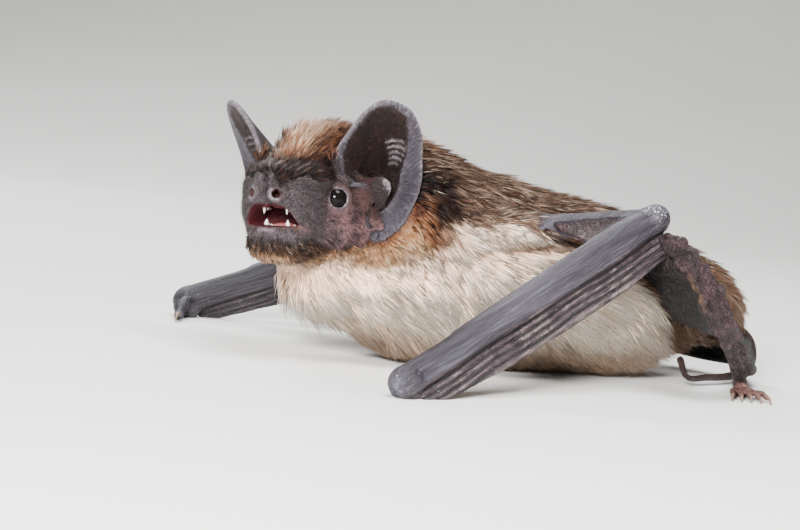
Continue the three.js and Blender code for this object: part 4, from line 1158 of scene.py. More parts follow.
def clear_of_body(clay, lines):
    """Tufts shortened so that they don't run into a wing, a leg or the floor, and those that remain."""
    for _ in range(4):
        inside = read_clay(clay, lines[:, 2]) < 0.04
        low = lines[:, 2, 2] < 0.05
        short = inside | low
        lines[short, 2] = lines[short, 1] + (lines[short, 2] - lines[short, 1]) * 0.55
    fair = (lines[:, :, 2].min(1) > 0.0) & ~before_ear(lines[:, 2]) & ~before_ear(lines[:, 1])
    for start, end, share in ((0, 1, 0.6), (0, 1, 0.8), (1, 2, 0), (1, 2, 0.25), (1, 2, 0.5), (1, 2, 0.75),
                              (1, 2, 1)):
        fair &= read_clay(clay, mix(lines[:, start], lines[:, end], np.full(len(lines), share))) > -0.12
    return lines, fair


def tuft_mesh(name, lines, outward, width, place, thickness=0.8):
    """Tufts as solid three-sided spikes with a closed root. place holds each one's spot on the unwrap."""
    count = len(lines)
    ways = np.stack([lines[:, 1] - lines[:, 0], lines[:, 2] - lines[:, 0]], axis=1)
    turns = np.array([0, 2, 4]) * math.pi / 3 + math.pi / 6
    rings = []
    for ring, share in ((0, 0.8), (1, 1.0)):
        way = unit(ways[:, ring])
        aside = unit(np.cross(way, outward))
        up = np.cross(aside, way)
        for turn in turns:
            rings.append(lines[:, ring] + (aside * math.cos(turn) + up * math.sin(turn) * thickness)
                         * (width * share / 2)[:, None])
    points = np.stack(rings + [lines[:, 2]], axis=1).reshape(-1, 3)
    faces = [(2, 1, 0)]
    tip = TUFT_POINTS - 1
    for side in range(3):
        after = (side + 1) % 3
        faces += [(side, after, after + 3), (side, after + 3, side + 3), (side + 3, after + 3, tip)]
    faces = (np.array(faces)[None] + TUFT_POINTS * np.arange(count)[:, None, None]).reshape(-1, 3)
    mesh = fill_mesh(name, points, faces)
    patch = np.array([(0, 0), (0.5, 0), (1, 0), (0, 0.6), (0.5, 0.6), (1, 0.6), (0.5, 1)]) - 0.5
    spots = place[:, None] + patch[None] * UNWRAP_PATCH
    uv = mesh.uv_layers.new(name="OFBake")
    uv.data.foreach_set("uv", spots.reshape(-1, 2)[faces.ravel()].astype(np.float32).ravel())
    return mesh


def coat_pieces(lines, roots, outward, clump, random):
    """Cut the coat into pieces small enough to keep, each with its own unwrap, colours and material."""
    x, y, z = roots.T
    f, l, u = to_head(roots).T
    marks = coat_marks(roots)
    middle = spline(TRUNK, y)[:, 0]
    round_trunk = np.arctan2(x, z - middle)
    round_head = np.arctan2(l, u + 1.0)
    root_tint, tip_tint = coat_colours(lines[:, 2])
    pale = random.random(len(roots)) < 0.3 * (1 - marks["head"]) * (1 - marks["band"]) * (1 - marks["under"])
    tip_tint = np.where(pale[:, None], SILVER_TIP, tip_tint)
    white = np.maximum(marks["under"], marks["throat"])
    dark = random.random(len(roots)) < 0.18 - 0.14 * white + 0.3 * marks["head"] * (1 - white)
    tip_tint = np.where(dark[:, None], mix(root_tint, tip_tint, np.full(len(roots), 0.2)), tip_tint)
    grizzled = (random.random(len(roots)) < 0.24 * np.maximum(marks["chin"], 0.15 * marks["brow"]))[:, None]
    tip_tint = np.where(grizzled, GRIZZLE, tip_tint)
    groups = ((clump.max() + 1, clump), (len(roots), slice(None)))
    shade = np.clip(uneven(random, groups, SHADE_SPREAD, 1), 0.4, 1.6)[:, None]
    root_tint, tip_tint = root_tint * shade, np.clip(tip_tint * shade, 0, 0.95)
    on_head = marks["head"] > 0.5
    width = np.where(on_head, HEAD_TUFT, TRUNK_TUFT)
    width = np.where(coat_size(roots)[0] < SHORT_COAT, FACE_TUFT, width)
    width = np.clip(width * (1 + random.normal(0, 0.2, len(roots))), 0.06, 0.24)
    belly = ~on_head & (marks["under"] > 0.5)
    regions = [("head_coat", on_head, round_head, -f, "back_fur")]
    for word, side in (("left", x > 0), ("right", x <= 0)):
        regions.append((f"{word}_back_coat", ~on_head & ~belly & side, round_trunk, y, "back_fur"))
        turn = np.where(round_trunk < 0, round_trunk + 2 * math.pi, round_trunk)
        regions.append((f"{word}_belly_coat", belly & side, turn, y, "belly_fur"))
    for name, chosen, turn, length, slot in regions:
        order = np.nonzero(chosen)[0]
        order = order[np.argsort(length[order])]
        for number, part in enumerate(np.array_split(order, math.ceil(len(order) / COAT_PIECE))):
            place = np.stack([turn[part], length[part]], axis=1)
            low, high = place.min(0), place.max(0)
            place = 0.01 + 0.98 * (place - low) / (high - low)
            mesh = tuft_mesh(f"{name}_{number + 1}", lines[part], outward[part], width[part], place)
            add_attribute(mesh, "root_tint", "FLOAT_COLOR", np.repeat(root_tint[part], TUFT_POINTS, axis=0))
            add_attribute(mesh, "tip_tint", "FLOAT_COLOR", np.repeat(tip_tint[part], TUFT_POINTS, axis=0))
            add_attribute(mesh, "along", "FLOAT", np.tile([0, 0, 0, 0.45, 0.45, 0.45, 1], len(part)))
            finish_piece(mesh, fur_material(slot), slot)


def make_coat(clay, skin):
    random = np.random.default_rng(20)
    points, faces = body_points(skin), triangles_of(skin)
    centre = points[faces].mean(1)
    part = part_at(clay, centre - clay_way(clay, centre) * 0.15)
    ragged = 1.2 * wander(centre, 2.0, 8)
    sleeve = (part == ARM) & (centre[:, 1] + ragged < SLEEVE_END) & (np.abs(centre[:, 0]) < 13.5)
    sleeve &= centre[:, 2] > 10
    furry = (np.isin(part, (TRUNK_SKIN, HEAD_SKIN)) & (coat_cover(centre) > 0.02)) | sleeve
    roots = even_roots(points, faces[furry], TUFTS, random)
    roots = roots[random.random(len(roots)) < coat_cover(roots)]
    lines, outward, clump = comb_coat(clay, roots, random)
    lines, fair = clear_of_body(clay, lines)
    coat_pieces(lines[fair], roots[fair], outward[fair], clump[fair], random)


# ---- short hairs on the face and in the ears: a node tree that sows them over a bare surface ----

def stubble_tree():
    """Solid hairs over a surface, each leaning along the surface's own "lie" and coloured by its tints."""
    tree = bpy.data.node_groups.new("stubble", "GeometryNodeTree")
    for label, kind in (("Skin", "Geometry"), ("Hair", "Object"), ("Hairs per square metre", "Float"),
                        ("Shortest", "Float"), ("Longest", "Float"), ("Seed", "Int"),
                        ("Finish", "Material")):
        tree.interface.new_socket(label, in_out="INPUT", socket_type=f"NodeSocket{kind}")
    tree.interface.new_socket("Hairs", in_out="OUTPUT", socket_type="NodeSocketGeometry")
    wire = Wiring(tree, "NodeGroupInput")
    given = wire.given

    def named(name, kind):
        return wire.put("GeometryNodeInputNamedAttribute", settings={"data_type": kind}, Name=name)

    density = wire.math("MULTIPLY", named("cover", "FLOAT"), given["Hairs per square metre"])
    spots = wire.put("GeometryNodeDistributePointsOnFaces", Mesh=given["Skin"], Density=density,
                     Seed=given["Seed"])
    lean = wire.put("FunctionNodeAlignRotationToVector", settings={"axis": "Z"},
                    Vector=named("lie", "FLOAT_VECTOR"))
    size = wire.put("FunctionNodeRandomValue", output=1, settings={"data_type": "FLOAT"},
                    i2=given["Shortest"],
                    i3=given["Longest"], Seed=given["Seed"])
    shape = wire.put("GeometryNodeObjectInfo", output="Geometry", Object=given["Hair"])
    hairs = wire.put("GeometryNodeInstanceOnPoints", Points=spots, Instance=shape, Rotation=lean, Scale=size)
    solid = wire.put("GeometryNodeRealizeInstances", Geometry=hairs)
    patch = wire.put("VectorMath", settings={"operation": "SCALE"}, i0=named("patch", "FLOAT_VECTOR"),
                     Scale=UNWRAP_PATCH)
    spot = wire.put("VectorMath", settings={"operation": "ADD"}, i0=named("unwrap", "FLOAT_VECTOR"),
                    i1=patch)
    kept = wire.put("GeometryNodeStoreNamedAttribute", settings={"data_type": "FLOAT2", "domain": "CORNER"},
                    Geometry=solid, Name="OFBake", Value=spot)
    done = wire.put("GeometryNodeSetMaterial", Geometry=kept, Material=given["Finish"])
    wire.join(done, tree.nodes.new("NodeGroupOutput").inputs["Hairs"])
    return tree


def hair_shape():
    """One hair a millimetre long, standing on the origin."""
    turn = np.array([0, 2, 4]) * math.pi / 3
    ring = np.stack([0.055 * np.cos(turn), 0.055 * np.sin(turn), 0 * turn - 0.06], axis=-1)
    points = np.concatenate([ring, [(0, 0, 1)]])
    mesh = fill_mesh("hair_shape", points - SHIFT, [(2, 1, 0), (0, 1, 3), (1, 2, 3), (2, 0, 3)])
    add_attribute(mesh, "along", "FLOAT", [0.2, 0.2, 0.2, 1])
    add_attribute(mesh, "patch", "FLOAT_VECTOR",
                  np.array([(-.5, -.5, 0), (.5, -.5, 0), (0, .2, 0), (0, .5, 0)]))
    return make_object(mesh)


def make_stubble(clay, skin):
    """Dark and pale hairs on the bare face, and finer ones in the bowls of the ears."""
    points, faces = body_points(skin), triangles_of(skin)
    outward = clay_way(clay, points)
    part = part_at(clay, points - outward * PROBE)
    f, l, u = to_head(points).T
    aside = np.abs(l)
    lie = lie_of_coat(points, outward)
    lie = unit(lie - outward * (lie * outward).sum(1, keepdims=True))
    clear = smooth(0.1, 0.5, mouth_reach(f, l, u))
    from_eye = np.linalg.norm(np.stack([f, aside, u], axis=-1) - eye_centre(1), axis=1)
    face = (part == HEAD_SKIN) * (1 - coat_cover(points)) * clear * smooth(1.7, 2.4, from_eye)
    face = face * smooth(-2.2, -0.8, f)
    opening = np.where(l > 0, outward @ (EAR_OUT @ HEAD), outward @ (mirror(EAR_OUT, -1) @ HEAD))
    ear = np.isin(part, (EAR, TRAGUS_SKIN)) * (opening > 0.2)
    up_ear = from_head((0, 0, 1)) - HEAD_AT
    hair = hair_shape()
    tree = stubble_tree()
    sowings = (("face_stubble", face, unit(lie + 0.4 * outward), 9.0, 0.35, 0.8, BROW_ROOT, FACE_DARK * 1.6),
               ("face_grizzle", face, unit(lie + 0.55 * outward), 5.0, 0.3, 0.6, FACE_GREY, GRIZZLE * 0.85),
               ("ear_hairs", ear, unit(up_ear + 0.9 * outward), 8.0, 0.3, 0.6, EAR_BROWN, GRIZZLE * 0.3))
    for number, (name, cover, way, density, shortest, longest, root, tip) in enumerate(sowings):
        kept = cover[faces].max(1) > 0.02
        scalp = fill_mesh(name, points, faces[kept])
        middle = points[faces[kept]].reshape(-1, 3)
        low, high = middle.min(0), middle.max(0)
        spread = (points - low) / (high - low)
        turn = np.arctan2(l, u + 1.0) / (2 * math.pi) + 0.5
        unwrap = np.stack([0.02 + 0.96 * turn, 0.02 + 0.96 * np.clip(spread[:, 1], 0, 1), 0 * turn], axis=-1)
        add_attribute(scalp, "cover", "FLOAT", cover)
        add_attribute(scalp, "lie", "FLOAT_VECTOR", way)
        add_attribute(scalp, "unwrap", "FLOAT_VECTOR", unwrap)
        light = 0.7 + 0.6 * (patches(points, 0.5, 40 + number))[:, None]
        add_attribute(scalp, "root_tint", "FLOAT_COLOR", root * light)
        add_attribute(scalp, "tip_tint", "FLOAT_COLOR", tip * light)
        sown = make_object(scalp)
        sow = sown.modifiers.new("stubble", "NODES")
        sow.node_group = tree
        values = {"Hair": hair, "Hairs per square metre": density * 1e6, "Shortest": shortest,
                  "Longest": longest,
                  "Seed": 3 + number, "Finish": fur_material("back_fur")}
        for item in tree.interface.items_tree:
            if item.name in values:
                sow[item.identifier] = values[item.name]
        shape = sown.evaluated_get(bpy.context.evaluated_depsgraph_get())
        hairs = bpy.data.meshes.new_from_object(shape)
        bpy.data.objects.remove(sown)
        bpy.data.meshes.remove(scalp)
        hairs.name = name
        finish_piece(hairs, None, "back_fur")
    bpy.data.objects.remove(hair)


# ---- what the skin's points carry ----

def limb_frame(points, side):
    """Distance down the folded wing from the elbow, across it and off its face."""
    limb = LIMBS[side]
    elbow, wrist = joints(limb, "elbow", "wrist")
    drop, aside = blade_ways(limb, side)
    way = unit(wrist - elbow)
    return np.stack([(points - elbow) @ way, (points - elbow) @ drop, (points - elbow) @ aside], axis=-1)


class SkinLooks:
    """Colours, the run of the creases and the pale dust, for every point of the skin."""

    def __init__(self, clay, mesh):
        self.mesh = mesh
        self.points = body_points(mesh)
        self.in_head = to_head(self.points)
        self.part = part_at(clay, self.points - clay_way(clay, self.points) * PROBE)
        self.side = np.where(self.points[:, 0] > 0, 1, -1)
        self.head_side = np.sign(self.in_head[:, 1])
        self.lay = self.points.copy()
        self.crease = np.full(len(self.points), 0.35)
        self.dust = np.zeros(len(self.points))
        self.tint = mix(*coat_colours(self.points), 0.12)
        self.face = None
        self.lump = patches(self.points, 1.6, 3)
        self.fine = patches(self.points, 0.5, 4)
        self.tiny = patches(self.points, 0.28, 6)

    def paint_face(self):
        """The bare face with its pink and red places, and the part of the ears' bowls that it forms."""
        lump, fine, tiny = self.lump, self.fine, self.tiny
        bare = self.part == HEAD_SKIN
        f, l, u = self.in_head.T
        l = np.abs(l)
        face = mix(FACE_DARK, FACE_GREY, 0.2 + 0.3 * lump + 0.2 * fine + 0.3 * tiny)
        from_eye = np.linalg.norm(np.stack([f - 0.5, l - 4.5, u + 0.2]), axis=0)
        face = mix(face, FACE_PINK, smooth(2.9, 1.5, from_eye) * (0.4 + 0.3 * tiny))
        cheek = smooth(3.2, 0.6, f) * smooth(-0.9, -2.3, u) * smooth(-6.8, -5.4, u)
        red = smooth(0.15, 0.95, 0.3 * lump + 0.35 * fine + 0.35 * tiny)
        face = mix(face, mix(FACE_BROWN, CHEEK_RED, red), cheek * (0.35 + 0.45 * red))
        notch = smooth(1.4, 0.4, np.linalg.norm(np.stack([f + 2.2, l - 6.3, u + 2.1]), axis=0))
        face = mix(face, CHEEK_RED, 0.5 * notch * (0.6 + 0.4 * tiny))
        temple = smooth(-1.0, -2.3, f + 0.3 * u) * smooth(4.2, 5.0, l) * smooth(-3.4, -1.6, u)
        face = mix(face, mix(EAR_BROWN, FACE_BROWN, 0.2 + 0.8 * red), temple)
        bowl = in_bowl(self.points, -4.2)
        canal = mix(EAR_DARK, EAR_BROWN, lump)
        canal = mix(canal, CANAL_RED, smooth(-5.2, -3.4, f) * (0.2 + 0.6 * tiny))
        face = mix(face, canal, bowl)
        shadow = smooth(1.1, -0.2, np.abs(u - brow_line(f) + 0.5)) * smooth(8.0, 6.0, f)
        face = mix(face, FACE_DARK, 0.85 * shadow * (0.6 + 0.4 * fine))
        furred = smooth(0.3, 0.9, coat_cover(self.points)) * (1 - bowl)
        self.tint[bare] = mix(face, self.tint, furred)[bare]
        self.crease[bare] = (0.5 + 0.5 * cheek)[bare]
        self.face = face

    def paint_arm(self, which):
        """The streaked grey arm, and the folded fingers below it with fine lines between them, with painted
        shade in the grooves between the fingers and painted highlights on their crests; the far wing is
        painted darker as painted shade.
        """
        limb = LIMBS[which]
        spots = limb_frame(self.points, which)
        arm = np.isin(self.part, (ARM, FINGER)) & (self.side == which)
        down, across = spots[:, 0], spots[:, 1]
        self.lay[arm] = (spots * (0.07, 1, 1))[arm]
        streak = patches(spots * STREAK_STRETCH, 0.9, 21)
        upper = mix(ARM_GREY, ARM_DARK, 0.1 + 0.75 * streak)
        # Painted light across the folded fingers: the grooves between them are painted dark as painted
        # shade, and their crests pale, partly their own pale edges and partly a painted highlight.
        crest_light = np.cos(2 * math.pi * (across - FINGER_DOWN) / FINGER_STEP + 0.8 * np.sin(0.5 * down))
        low = mix(FINGER_GROOVE_SHADE, FINGER_MAUVE, smooth(-0.6, 0.5, crest_light))
        low = mix(low, FINGER_PALE_AND_HIGHLIGHT, smooth(0.75, 1.0, crest_light) * (0.25 + 0.5 * self.lump))
        lines = np.cos(17 * across + 0.9 * np.sin(0.35 * down) + 1.5 * self.lump)
        low = low * (0.5 + 0.8 * smooth(-0.4, 0.7, lines))[:, None]
        hem = smooth(0.35, 0.1, np.abs(across - FINGER_DOWN - FINGER_STEP * (FINGERS - 1) - 0.25))
        low = mix(low, FINGER_PALE_AND_HIGHLIGHT, 0.5 * hem * self.fine)
        share = smooth(1.0, 1.5, across)
        # Painted shade: the far (right) wing is painted at half the brightness of the near one.
        self.tint[arm] = (mix(upper, low, share) * (1 if which > 0 else 0.5))[arm]
        self.crease[arm] = (0.35 + 0.65 * share)[arm]
        length = np.linalg.norm(np.subtract(limb["wrist"], limb["elbow"]))
        ends = np.maximum(smooth(3.6, 0.4, down), smooth(length - 5.0, length - 1.0, down))
        crust = smooth(2.6, 0.2, down) * smooth(0.9, -0.4, across)
        self.dust[arm] = (0.12 + 0.2 * ends + 0.5 * crust)[arm]

    def paint_web(self, which):
        """The wrinkled wing skin behind the arm, darkest beside its gathered edge, where painted shade fills
        the hollow between the edge and the body.
        """
        points = self.points
        skin = (self.part == MEMBRANE) & (self.side == which)
        path = np.array(gather_path(LIMBS[which], which))
        way = unit(path[-1] - path[0])
        cross = unit(np.cross(way, (0, 1, 0)))
        rest = np.cross(way, cross)
        self.lay[skin] = np.stack([(points @ way) * 0.45, points @ cross, points @ rest], axis=-1)[skin]
        # Painted shade: the hollow between the gathered edge and the body is painted near black.
        hollow = smooth(2.2, 3.6, gap_to(along(path, np.linspace(0, 1, 60)), points))
        web = mix(WEB_DARK, WEB_MAUVE, 0.15 + 0.6 * self.lump)
        web = mix(web, WEB_PAINTED_SHADE, hollow * smooth(15, 18, points[:, 1]))
        web = web * (0.55 + 0.9 * self.tiny[:, None])
        # A strip painted in the colour of lit fur along the gathered edge: partly the fur's own
        # orange-brown, partly painted light.
        edge = along(path, np.linspace(0.3, 0.58, 30)) - (0, 2.5, 0)
        edge = smooth(1.25, 0.7, gap_to(edge, points))
        self.tint[skin] = mix(web, LIT_FUR_STRIP_ORANGE, 0.5 * edge * (0.2 + 0.8 * self.fine))[skin]
        self.crease[skin] = 1.0
        self.dust[skin] = 0.12

    def paint_ear(self, which):
        """A dark bowl inside a grey rim, pale ridges, and a brown back."""
        own = np.isin(self.part, (EAR, LOBE, RIDGE)) & (self.head_side == which)
        lump, fine, tiny = self.lump[own], self.fine[own], self.tiny[own]
        turns, reaches = np.meshgrid(np.linspace(0, 1, 160, endpoint=False), np.linspace(0.05, 1, 26))
        sheet = ear_point(which, reaches, turns).reshape(-1, 3)
        near, gap = nearest_of(sheet, self.points[own])
        reach, turn = reaches.ravel()[near], turns.ravel()[near]
        _, wide, tall = ear_frame(self.points[own])
        self.lay[own] = np.stack([13 * np.arctan2(wide, tall), 0.3 * np.hypot(wide, tall), 0 * turn],
                                 axis=-1)
        start = band_start(turn, along(EAR_RIM, turn, closed=True))
        rim = smooth(-0.03, 0.01, reach - start)
        colour = mix(mix(EAR_DARK, EAR_BROWN, 0.5 * lump + 0.5 * tiny), RIM_GREY, rim * (0.7 + 0.3 * fine))
        colour = mix(colour, RIM_PALE, smooth(0.03, 0.0, np.abs(reach - start - 0.005)) * 0.3)
        colour = mix(colour, RIM_PALE, smooth(0.96, 1.0, reach) * 0.35)
        # Painted shade: the far ear's ridges are painted less pale than the near ear's.
        colour = mix(colour, RIM_PALE, (0.65 if which > 0 else 0.4) * (self.part[own] == RIDGE))
        self.tint[own] = mix(colour, EAR_BACK, smooth(0.45, 0.6, gap))
        self.crease[own] = 0.5 + 0.5 * rim

    def paint_small_parts(self):
        plain = {
            TRAGUS_SKIN: (TRAGUS_GREY, 0.4), TRAGUS_RIM: (RIM_PALE * 0.8, 0.2), LIP: (LIP_MAUVE, 0.4),
            LIDS: (LID_GREY, 0.4), NOSE: (NOSE_GREY, 0.4), NOSTRIL_INSIDE: (NOSTRIL_DARK, 0.2),
            FOOT: (TOE_PINK, 0.6), LEG: (LEG_BROWN, 0.7), TAIL_SKIN: (LEG_BROWN, 0.8),
        }
        for label, (colour, depth) in plain.items():
            chosen = self.part == label
            # Painted shade: the pale rim of the far tragus is painted at less than half its brightness.
            far_rim_shade = (label == TRAGUS_RIM) & (self.head_side < 0)
            light = np.where(far_rim_shade, 0.4, 1) * (0.75 + 0.5 * self.tiny)
            self.tint[chosen] = (colour * light[:, None])[chosen]
            self.crease[chosen] = depth

    def paint_edges(self, which):
        """Pale inner edges of an eye's lids and of a nostril."""
        rings = ((LIDS, eye_centre(which), EYE_LOOK, LID["ring"]),
                 (NOSE, nostril_centre(which), NOSTRIL_LOOK, NOSTRIL["ring"]))
        for label, centre, look, edge in rings:
            off = self.in_head - centre
            look = unit(mirror(look, which))
            aside = np.linalg.norm(off - (off @ look)[:, None] * look, axis=1)
            pale = smooth(edge - 0.02, edge - 0.16, aside) * (0.4 + 0.3 * self.tiny)
            chosen = (self.part == label) & (self.head_side == which)
            self.tint[chosen] = mix(self.tint, RIM_PALE, pale)[chosen]

    def paint_mouth(self):
        """The red inside of the mouth, its corners, and the pad below the lower lip."""
        f, l, u = self.in_head.T
        mouth = mouth_reach(f, l, u)
        l = np.abs(l)
        bare = self.part == HEAD_SKIN
        grain = self.tiny[:, None]
        tint = mix(self.tint, self.face, 0.9 * smooth(-3.95, -4.2, u) * (self.part == LIP))
        inside = smooth(0.12, -0.05, mouth) * (self.part != LIP)
        tint = mix(tint, MOUTH_RED * (0.6 + 0.8 * grain), inside * (f < 8) * (f > 0.5))
        corner = smooth(0.35, 0.1, np.abs(u + 3.62 + 0.1 * (l - 3.3)))
        corner = corner * smooth(3.3, 3.6, l) * smooth(4.5, 4.0, l) * (f > 2.2)
        tint = mix(tint, CHEEK_RED * 0.8, 0.5 * corner * bare)
        pad = smooth(0.42, 0.15, np.abs(u + 4.5)) * smooth(0.4, 1.0, l) * smooth(3.6, 2.6, l) * (f > 3)
        self.tint = mix(tint, LIP_MAUVE * (0.3 + 0.5 * grain), 0.55 * pad * bare)

    def keep(self):
        """Store the looks on the mesh, and give each of its faces the finish of its part."""
        faces = triangles_of(self.mesh)
        tint = soften(self.tint, faces)
        add_attribute(self.mesh, "tint", "FLOAT_COLOR", np.clip(tint, 0, 1))
        add_attribute(self.mesh, "lay", "FLOAT_VECTOR", self.lay)
        add_attribute(self.mesh, "crease", "FLOAT", self.crease)
        add_attribute(self.mesh, "dust", "FLOAT", self.dust)
        kind = np.zeros(len(self.points), int)
        for number, labels in enumerate(SKIN_FINISHES.values()):
            kind[np.isin(self.part, labels)] = number
        self.mesh.polygons.foreach_set("material_index", np.max(kind[faces], axis=1).astype(np.int32))


def dress_skin(clay, mesh):
    looks = SkinLooks(clay, mesh)
    looks.paint_face()
    for side in (1, -1):
        looks.paint_arm(side)
        looks.paint_web(side)
        looks.paint_ear(side)
    looks.paint_small_parts()
    for side in (1, -1):
        looks.paint_edges(side)
    looks.paint_mouth()
    looks.keep()


def gap_to(places, points):
    """Distance of every point from the nearest of a few places."""
    return np.min([np.linalg.norm(points - place, axis=1) for place in places], axis=0)


def soften(values, faces):
    """Values averaged with those of neighbouring points, so that a change of part leaves no jagged edge."""
    ends = np.concatenate([faces[:, [0, 1]], faces[:, [1, 2]], faces[:, [2, 0]]])
    first, second = ends.T
    count = np.bincount(ends.ravel(), minlength=len(values))[:, None]
    total = [np.bincount(first, column[second], len(values))
             + np.bincount(second, column[first], len(values))
             for column in values.T]
    return 0.5 * values + 0.5 * np.stack(total, axis=1) / np.maximum(count, 1)


def nearest_of(places, points):
    """For every point the number of the nearest place, and how far off it is."""
    tree = KDTree(len(places))
    for number, place in enumerate(places.tolist()):
        tree.insert(place, number)
    tree.balance()
    found = [tree.find(point) for point in points.tolist()]
    return np.array([hit[1] for hit in found]), np.array([hit[2] for hit in found])


# ---- finishes ----

def effect(name, inputs, outputs):
    """An empty shader node group with named inputs and outputs, and its two end nodes."""
    group = bpy.data.node_groups.new(name, "ShaderNodeTree")
    for label, kind, value in inputs:
        socket = group.interface.new_socket(label, in_out="INPUT", socket_type=f"NodeSocket{kind}")
        if value is not None:
            socket.default_value = value
    for label, kind in outputs:
        group.interface.new_socket(label, in_out="OUTPUT", socket_type=f"NodeSocket{kind}")
    return group, Wiring(group, "NodeGroupInput"), group.nodes.new("NodeGroupOutput")


class Wiring:
    """Adds nodes to a tree and joins them: a value given as a socket is linked, any other is set."""

    def __init__(self, tree, first=None):
        self.tree = tree
        self.given = tree.nodes.new(first).outputs if first else None

    def put(self, kind, output=0, settings=(), **sockets):
        whole = kind.startswith(("Geometry", "Function"))
        node = self.tree.nodes.new(kind if whole else f"ShaderNode{kind}")
        for name, value in dict(settings).items():
            setattr(node, name, value)
        for name, value in sockets.items():
            key = int(name[1:]) if name[0] == "i" and name[1:].isdigit() else name.replace("_", " ")
            self.join(value, node.inputs[key])
        return node.outputs[output]

    def join(self, value, socket):
        if isinstance(value, bpy.types.NodeSocket):
            self.tree.links.new(value, socket)
        else:
            socket.default_value = value

    def math(self, operation, first, second=0.0, clamp=False):
        return self.put("Math", settings={"operation": operation, "use_clamp": clamp}, i0=first, i1=second)

    def blend(self, share, first, second, way="MIX"):
        """Two colours mixed, by the sockets that a colour mix uses."""
        node = self.tree.nodes.new("ShaderNodeMix")
        node.data_type, node.blend_type = "RGBA", way
        self.join(share, node.inputs[0])
        self.join(first, node.inputs[6])
        self.join(second, node.inputs[7])
        return node.outputs[2]

    def use(self, group, **sockets):
        node = self.tree.nodes.new("ShaderNodeGroup")
        node.node_tree = group
        for name, value in sockets.items():
            self.join(value, node.inputs[name.replace("_", " ")])
        return node.outputs[0]

    def noise(self, vector, scale, detail=3.0, rough=0.55):
        return self.put("TexNoise", Vector=vector, Scale=scale, Detail=detail, Roughness=rough)

    def ramp(self, value, low, high):
        node = self.tree.nodes.new("ShaderNodeMapRange")
        node.interpolation_type = "SMOOTHSTEP"
        self.join(value, node.inputs[0])
        self.join(low, node.inputs[1])
        self.join(high, node.inputs[2])
        return node.outputs[0]


def mottle_group():
    """Small uneven light and dark over a tint."""
    group, wire, end = effect("mottle", [("Vector", "Vector", None), ("Tint", "Color", (0.5, 0.5, 0.5, 1)),
                                         ("Per mm", "Float", 1.5), ("Depth", "Float", 0.4)],
                                         [("Colour", "Color")])
    given = wire.given
    value = wire.noise(given["Vector"], given["Per mm"], detail=4.0, rough=0.65)
    light = wire.math("ADD", 1.0, wire.math("MULTIPLY", wire.math("SUBTRACT", value, 0.5),
                                            wire.math("MULTIPLY", given["Depth"], 4.0)))
    grey = wire.put("CombineColor", i0=light, i1=light, i2=light)
    wire.join(wire.blend(1.0, given["Tint"], grey, "MULTIPLY"), end.inputs["Colour"])
    return group


def crease_group():
    """Height of creases that run with the skin, and of the grain between them."""
    group, wire, end = effect("creases", [("Lay", "Vector", None), ("Place", "Vector", None),
                                          ("Creases per mm", "Float", 1.6), ("Depth", "Float", 1.0),
                                          ("Grain per mm", "Float", 6.0), ("Grain depth", "Float", 0.3)],
                              [("Height", "Float")])
    given = wire.given
    broad = wire.noise(given["Lay"], given["Creases per mm"], rough=0.6)
    fold = wire.math("ABSOLUTE", wire.math("SUBTRACT", broad, 0.5))
    fold = wire.math("MULTIPLY", wire.ramp(fold, 0.0, 0.16), given["Depth"])
    grain = wire.math("MULTIPLY", wire.noise(given["Place"], given["Grain per mm"], rough=0.7),
                      given["Grain depth"])
    wire.join(wire.math("ADD", fold, grain), end.inputs["Height"])
    return group


def dust_group():
    """Mask of pale dry flecks."""
    group, wire, end = effect("flecks", [("Place", "Vector", None), ("Amount", "Float", 0.5),
                                         ("Per mm", "Float", 5.0)], [("Mask", "Float")])
    given = wire.given
    fine = wire.noise(given["Place"], given["Per mm"], detail=2.0, rough=0.6)
    level = wire.math("SUBTRACT", 0.76, wire.math("MULTIPLY", given["Amount"], 0.2))
    mask = wire.ramp(fine, level, wire.math("ADD", level, 0.06))
    wire.join(wire.math("MULTIPLY", mask, wire.ramp(given["Amount"], 0.0, 0.15)), end.inputs["Mask"])
    return group


def new_material(name):
    material = bpy.data.materials.new(name)
    material.use_nodes = True
    wire = Wiring(material.node_tree)
    shader = material.node_tree.nodes["Principled BSDF"]
    place = wire.put("VectorMath", settings={"operation": "SCALE"},
                     i0=wire.put("TexCoord", output="Object"), Scale=1000.0)
    return material, wire, shader, place


def attribute(wire, name, output):
    return wire.put("Attribute", output=output, settings={"attribute_name": name})


def skin_material(name, creases, grain, roughness, relief, crease_depth=1.0, grain_depth=0.4, mottle=0.4):
    """Bare skin. Creases and grain are counts in a millimetre, and relief is their depth in millimetres."""
    material, wire, shader, place = new_material(name)
    lay = attribute(wire, "lay", "Vector")
    tint = attribute(wire, "tint", "Color")
    depth = wire.math("MULTIPLY", attribute(wire, "crease", "Fac"), crease_depth)
    height = wire.use(EFFECTS["creases"], Lay=lay, Place=place, Creases_per_mm=creases, Depth=depth,
                      Grain_per_mm=grain, Grain_depth=grain_depth)
    colour = wire.use(EFFECTS["mottle"], Vector=lay, Tint=tint, Per_mm=creases * 1.2, Depth=mottle)
    # Painted shade in the creases: the colour is darkened to half where the crease height is low.
    colour = wire.blend(wire.ramp(height, 0.15, 0.75),
                        wire.blend(1.0, colour, (0.5, 0.45, 0.45, 1), "MULTIPLY"), colour)
    flecks = wire.use(EFFECTS["flecks"], Place=place, Amount=attribute(wire, "dust", "Fac"), Per_mm=5.0)
    wire.join(wire.blend(flecks, colour, DUST), shader.inputs["Base Color"])
    rough = wire.math("ADD", roughness, wire.math("MULTIPLY", wire.math("SUBTRACT", height, 0.5), -0.2))
    wire.join(rough, shader.inputs["Roughness"])
    bump = wire.put("Bump", Strength=1.0, Distance=relief * MM, Height=height)
    wire.join(bump, shader.inputs["Normal"])
    shader.inputs["Specular IOR Level"].default_value = 0.35
    return material


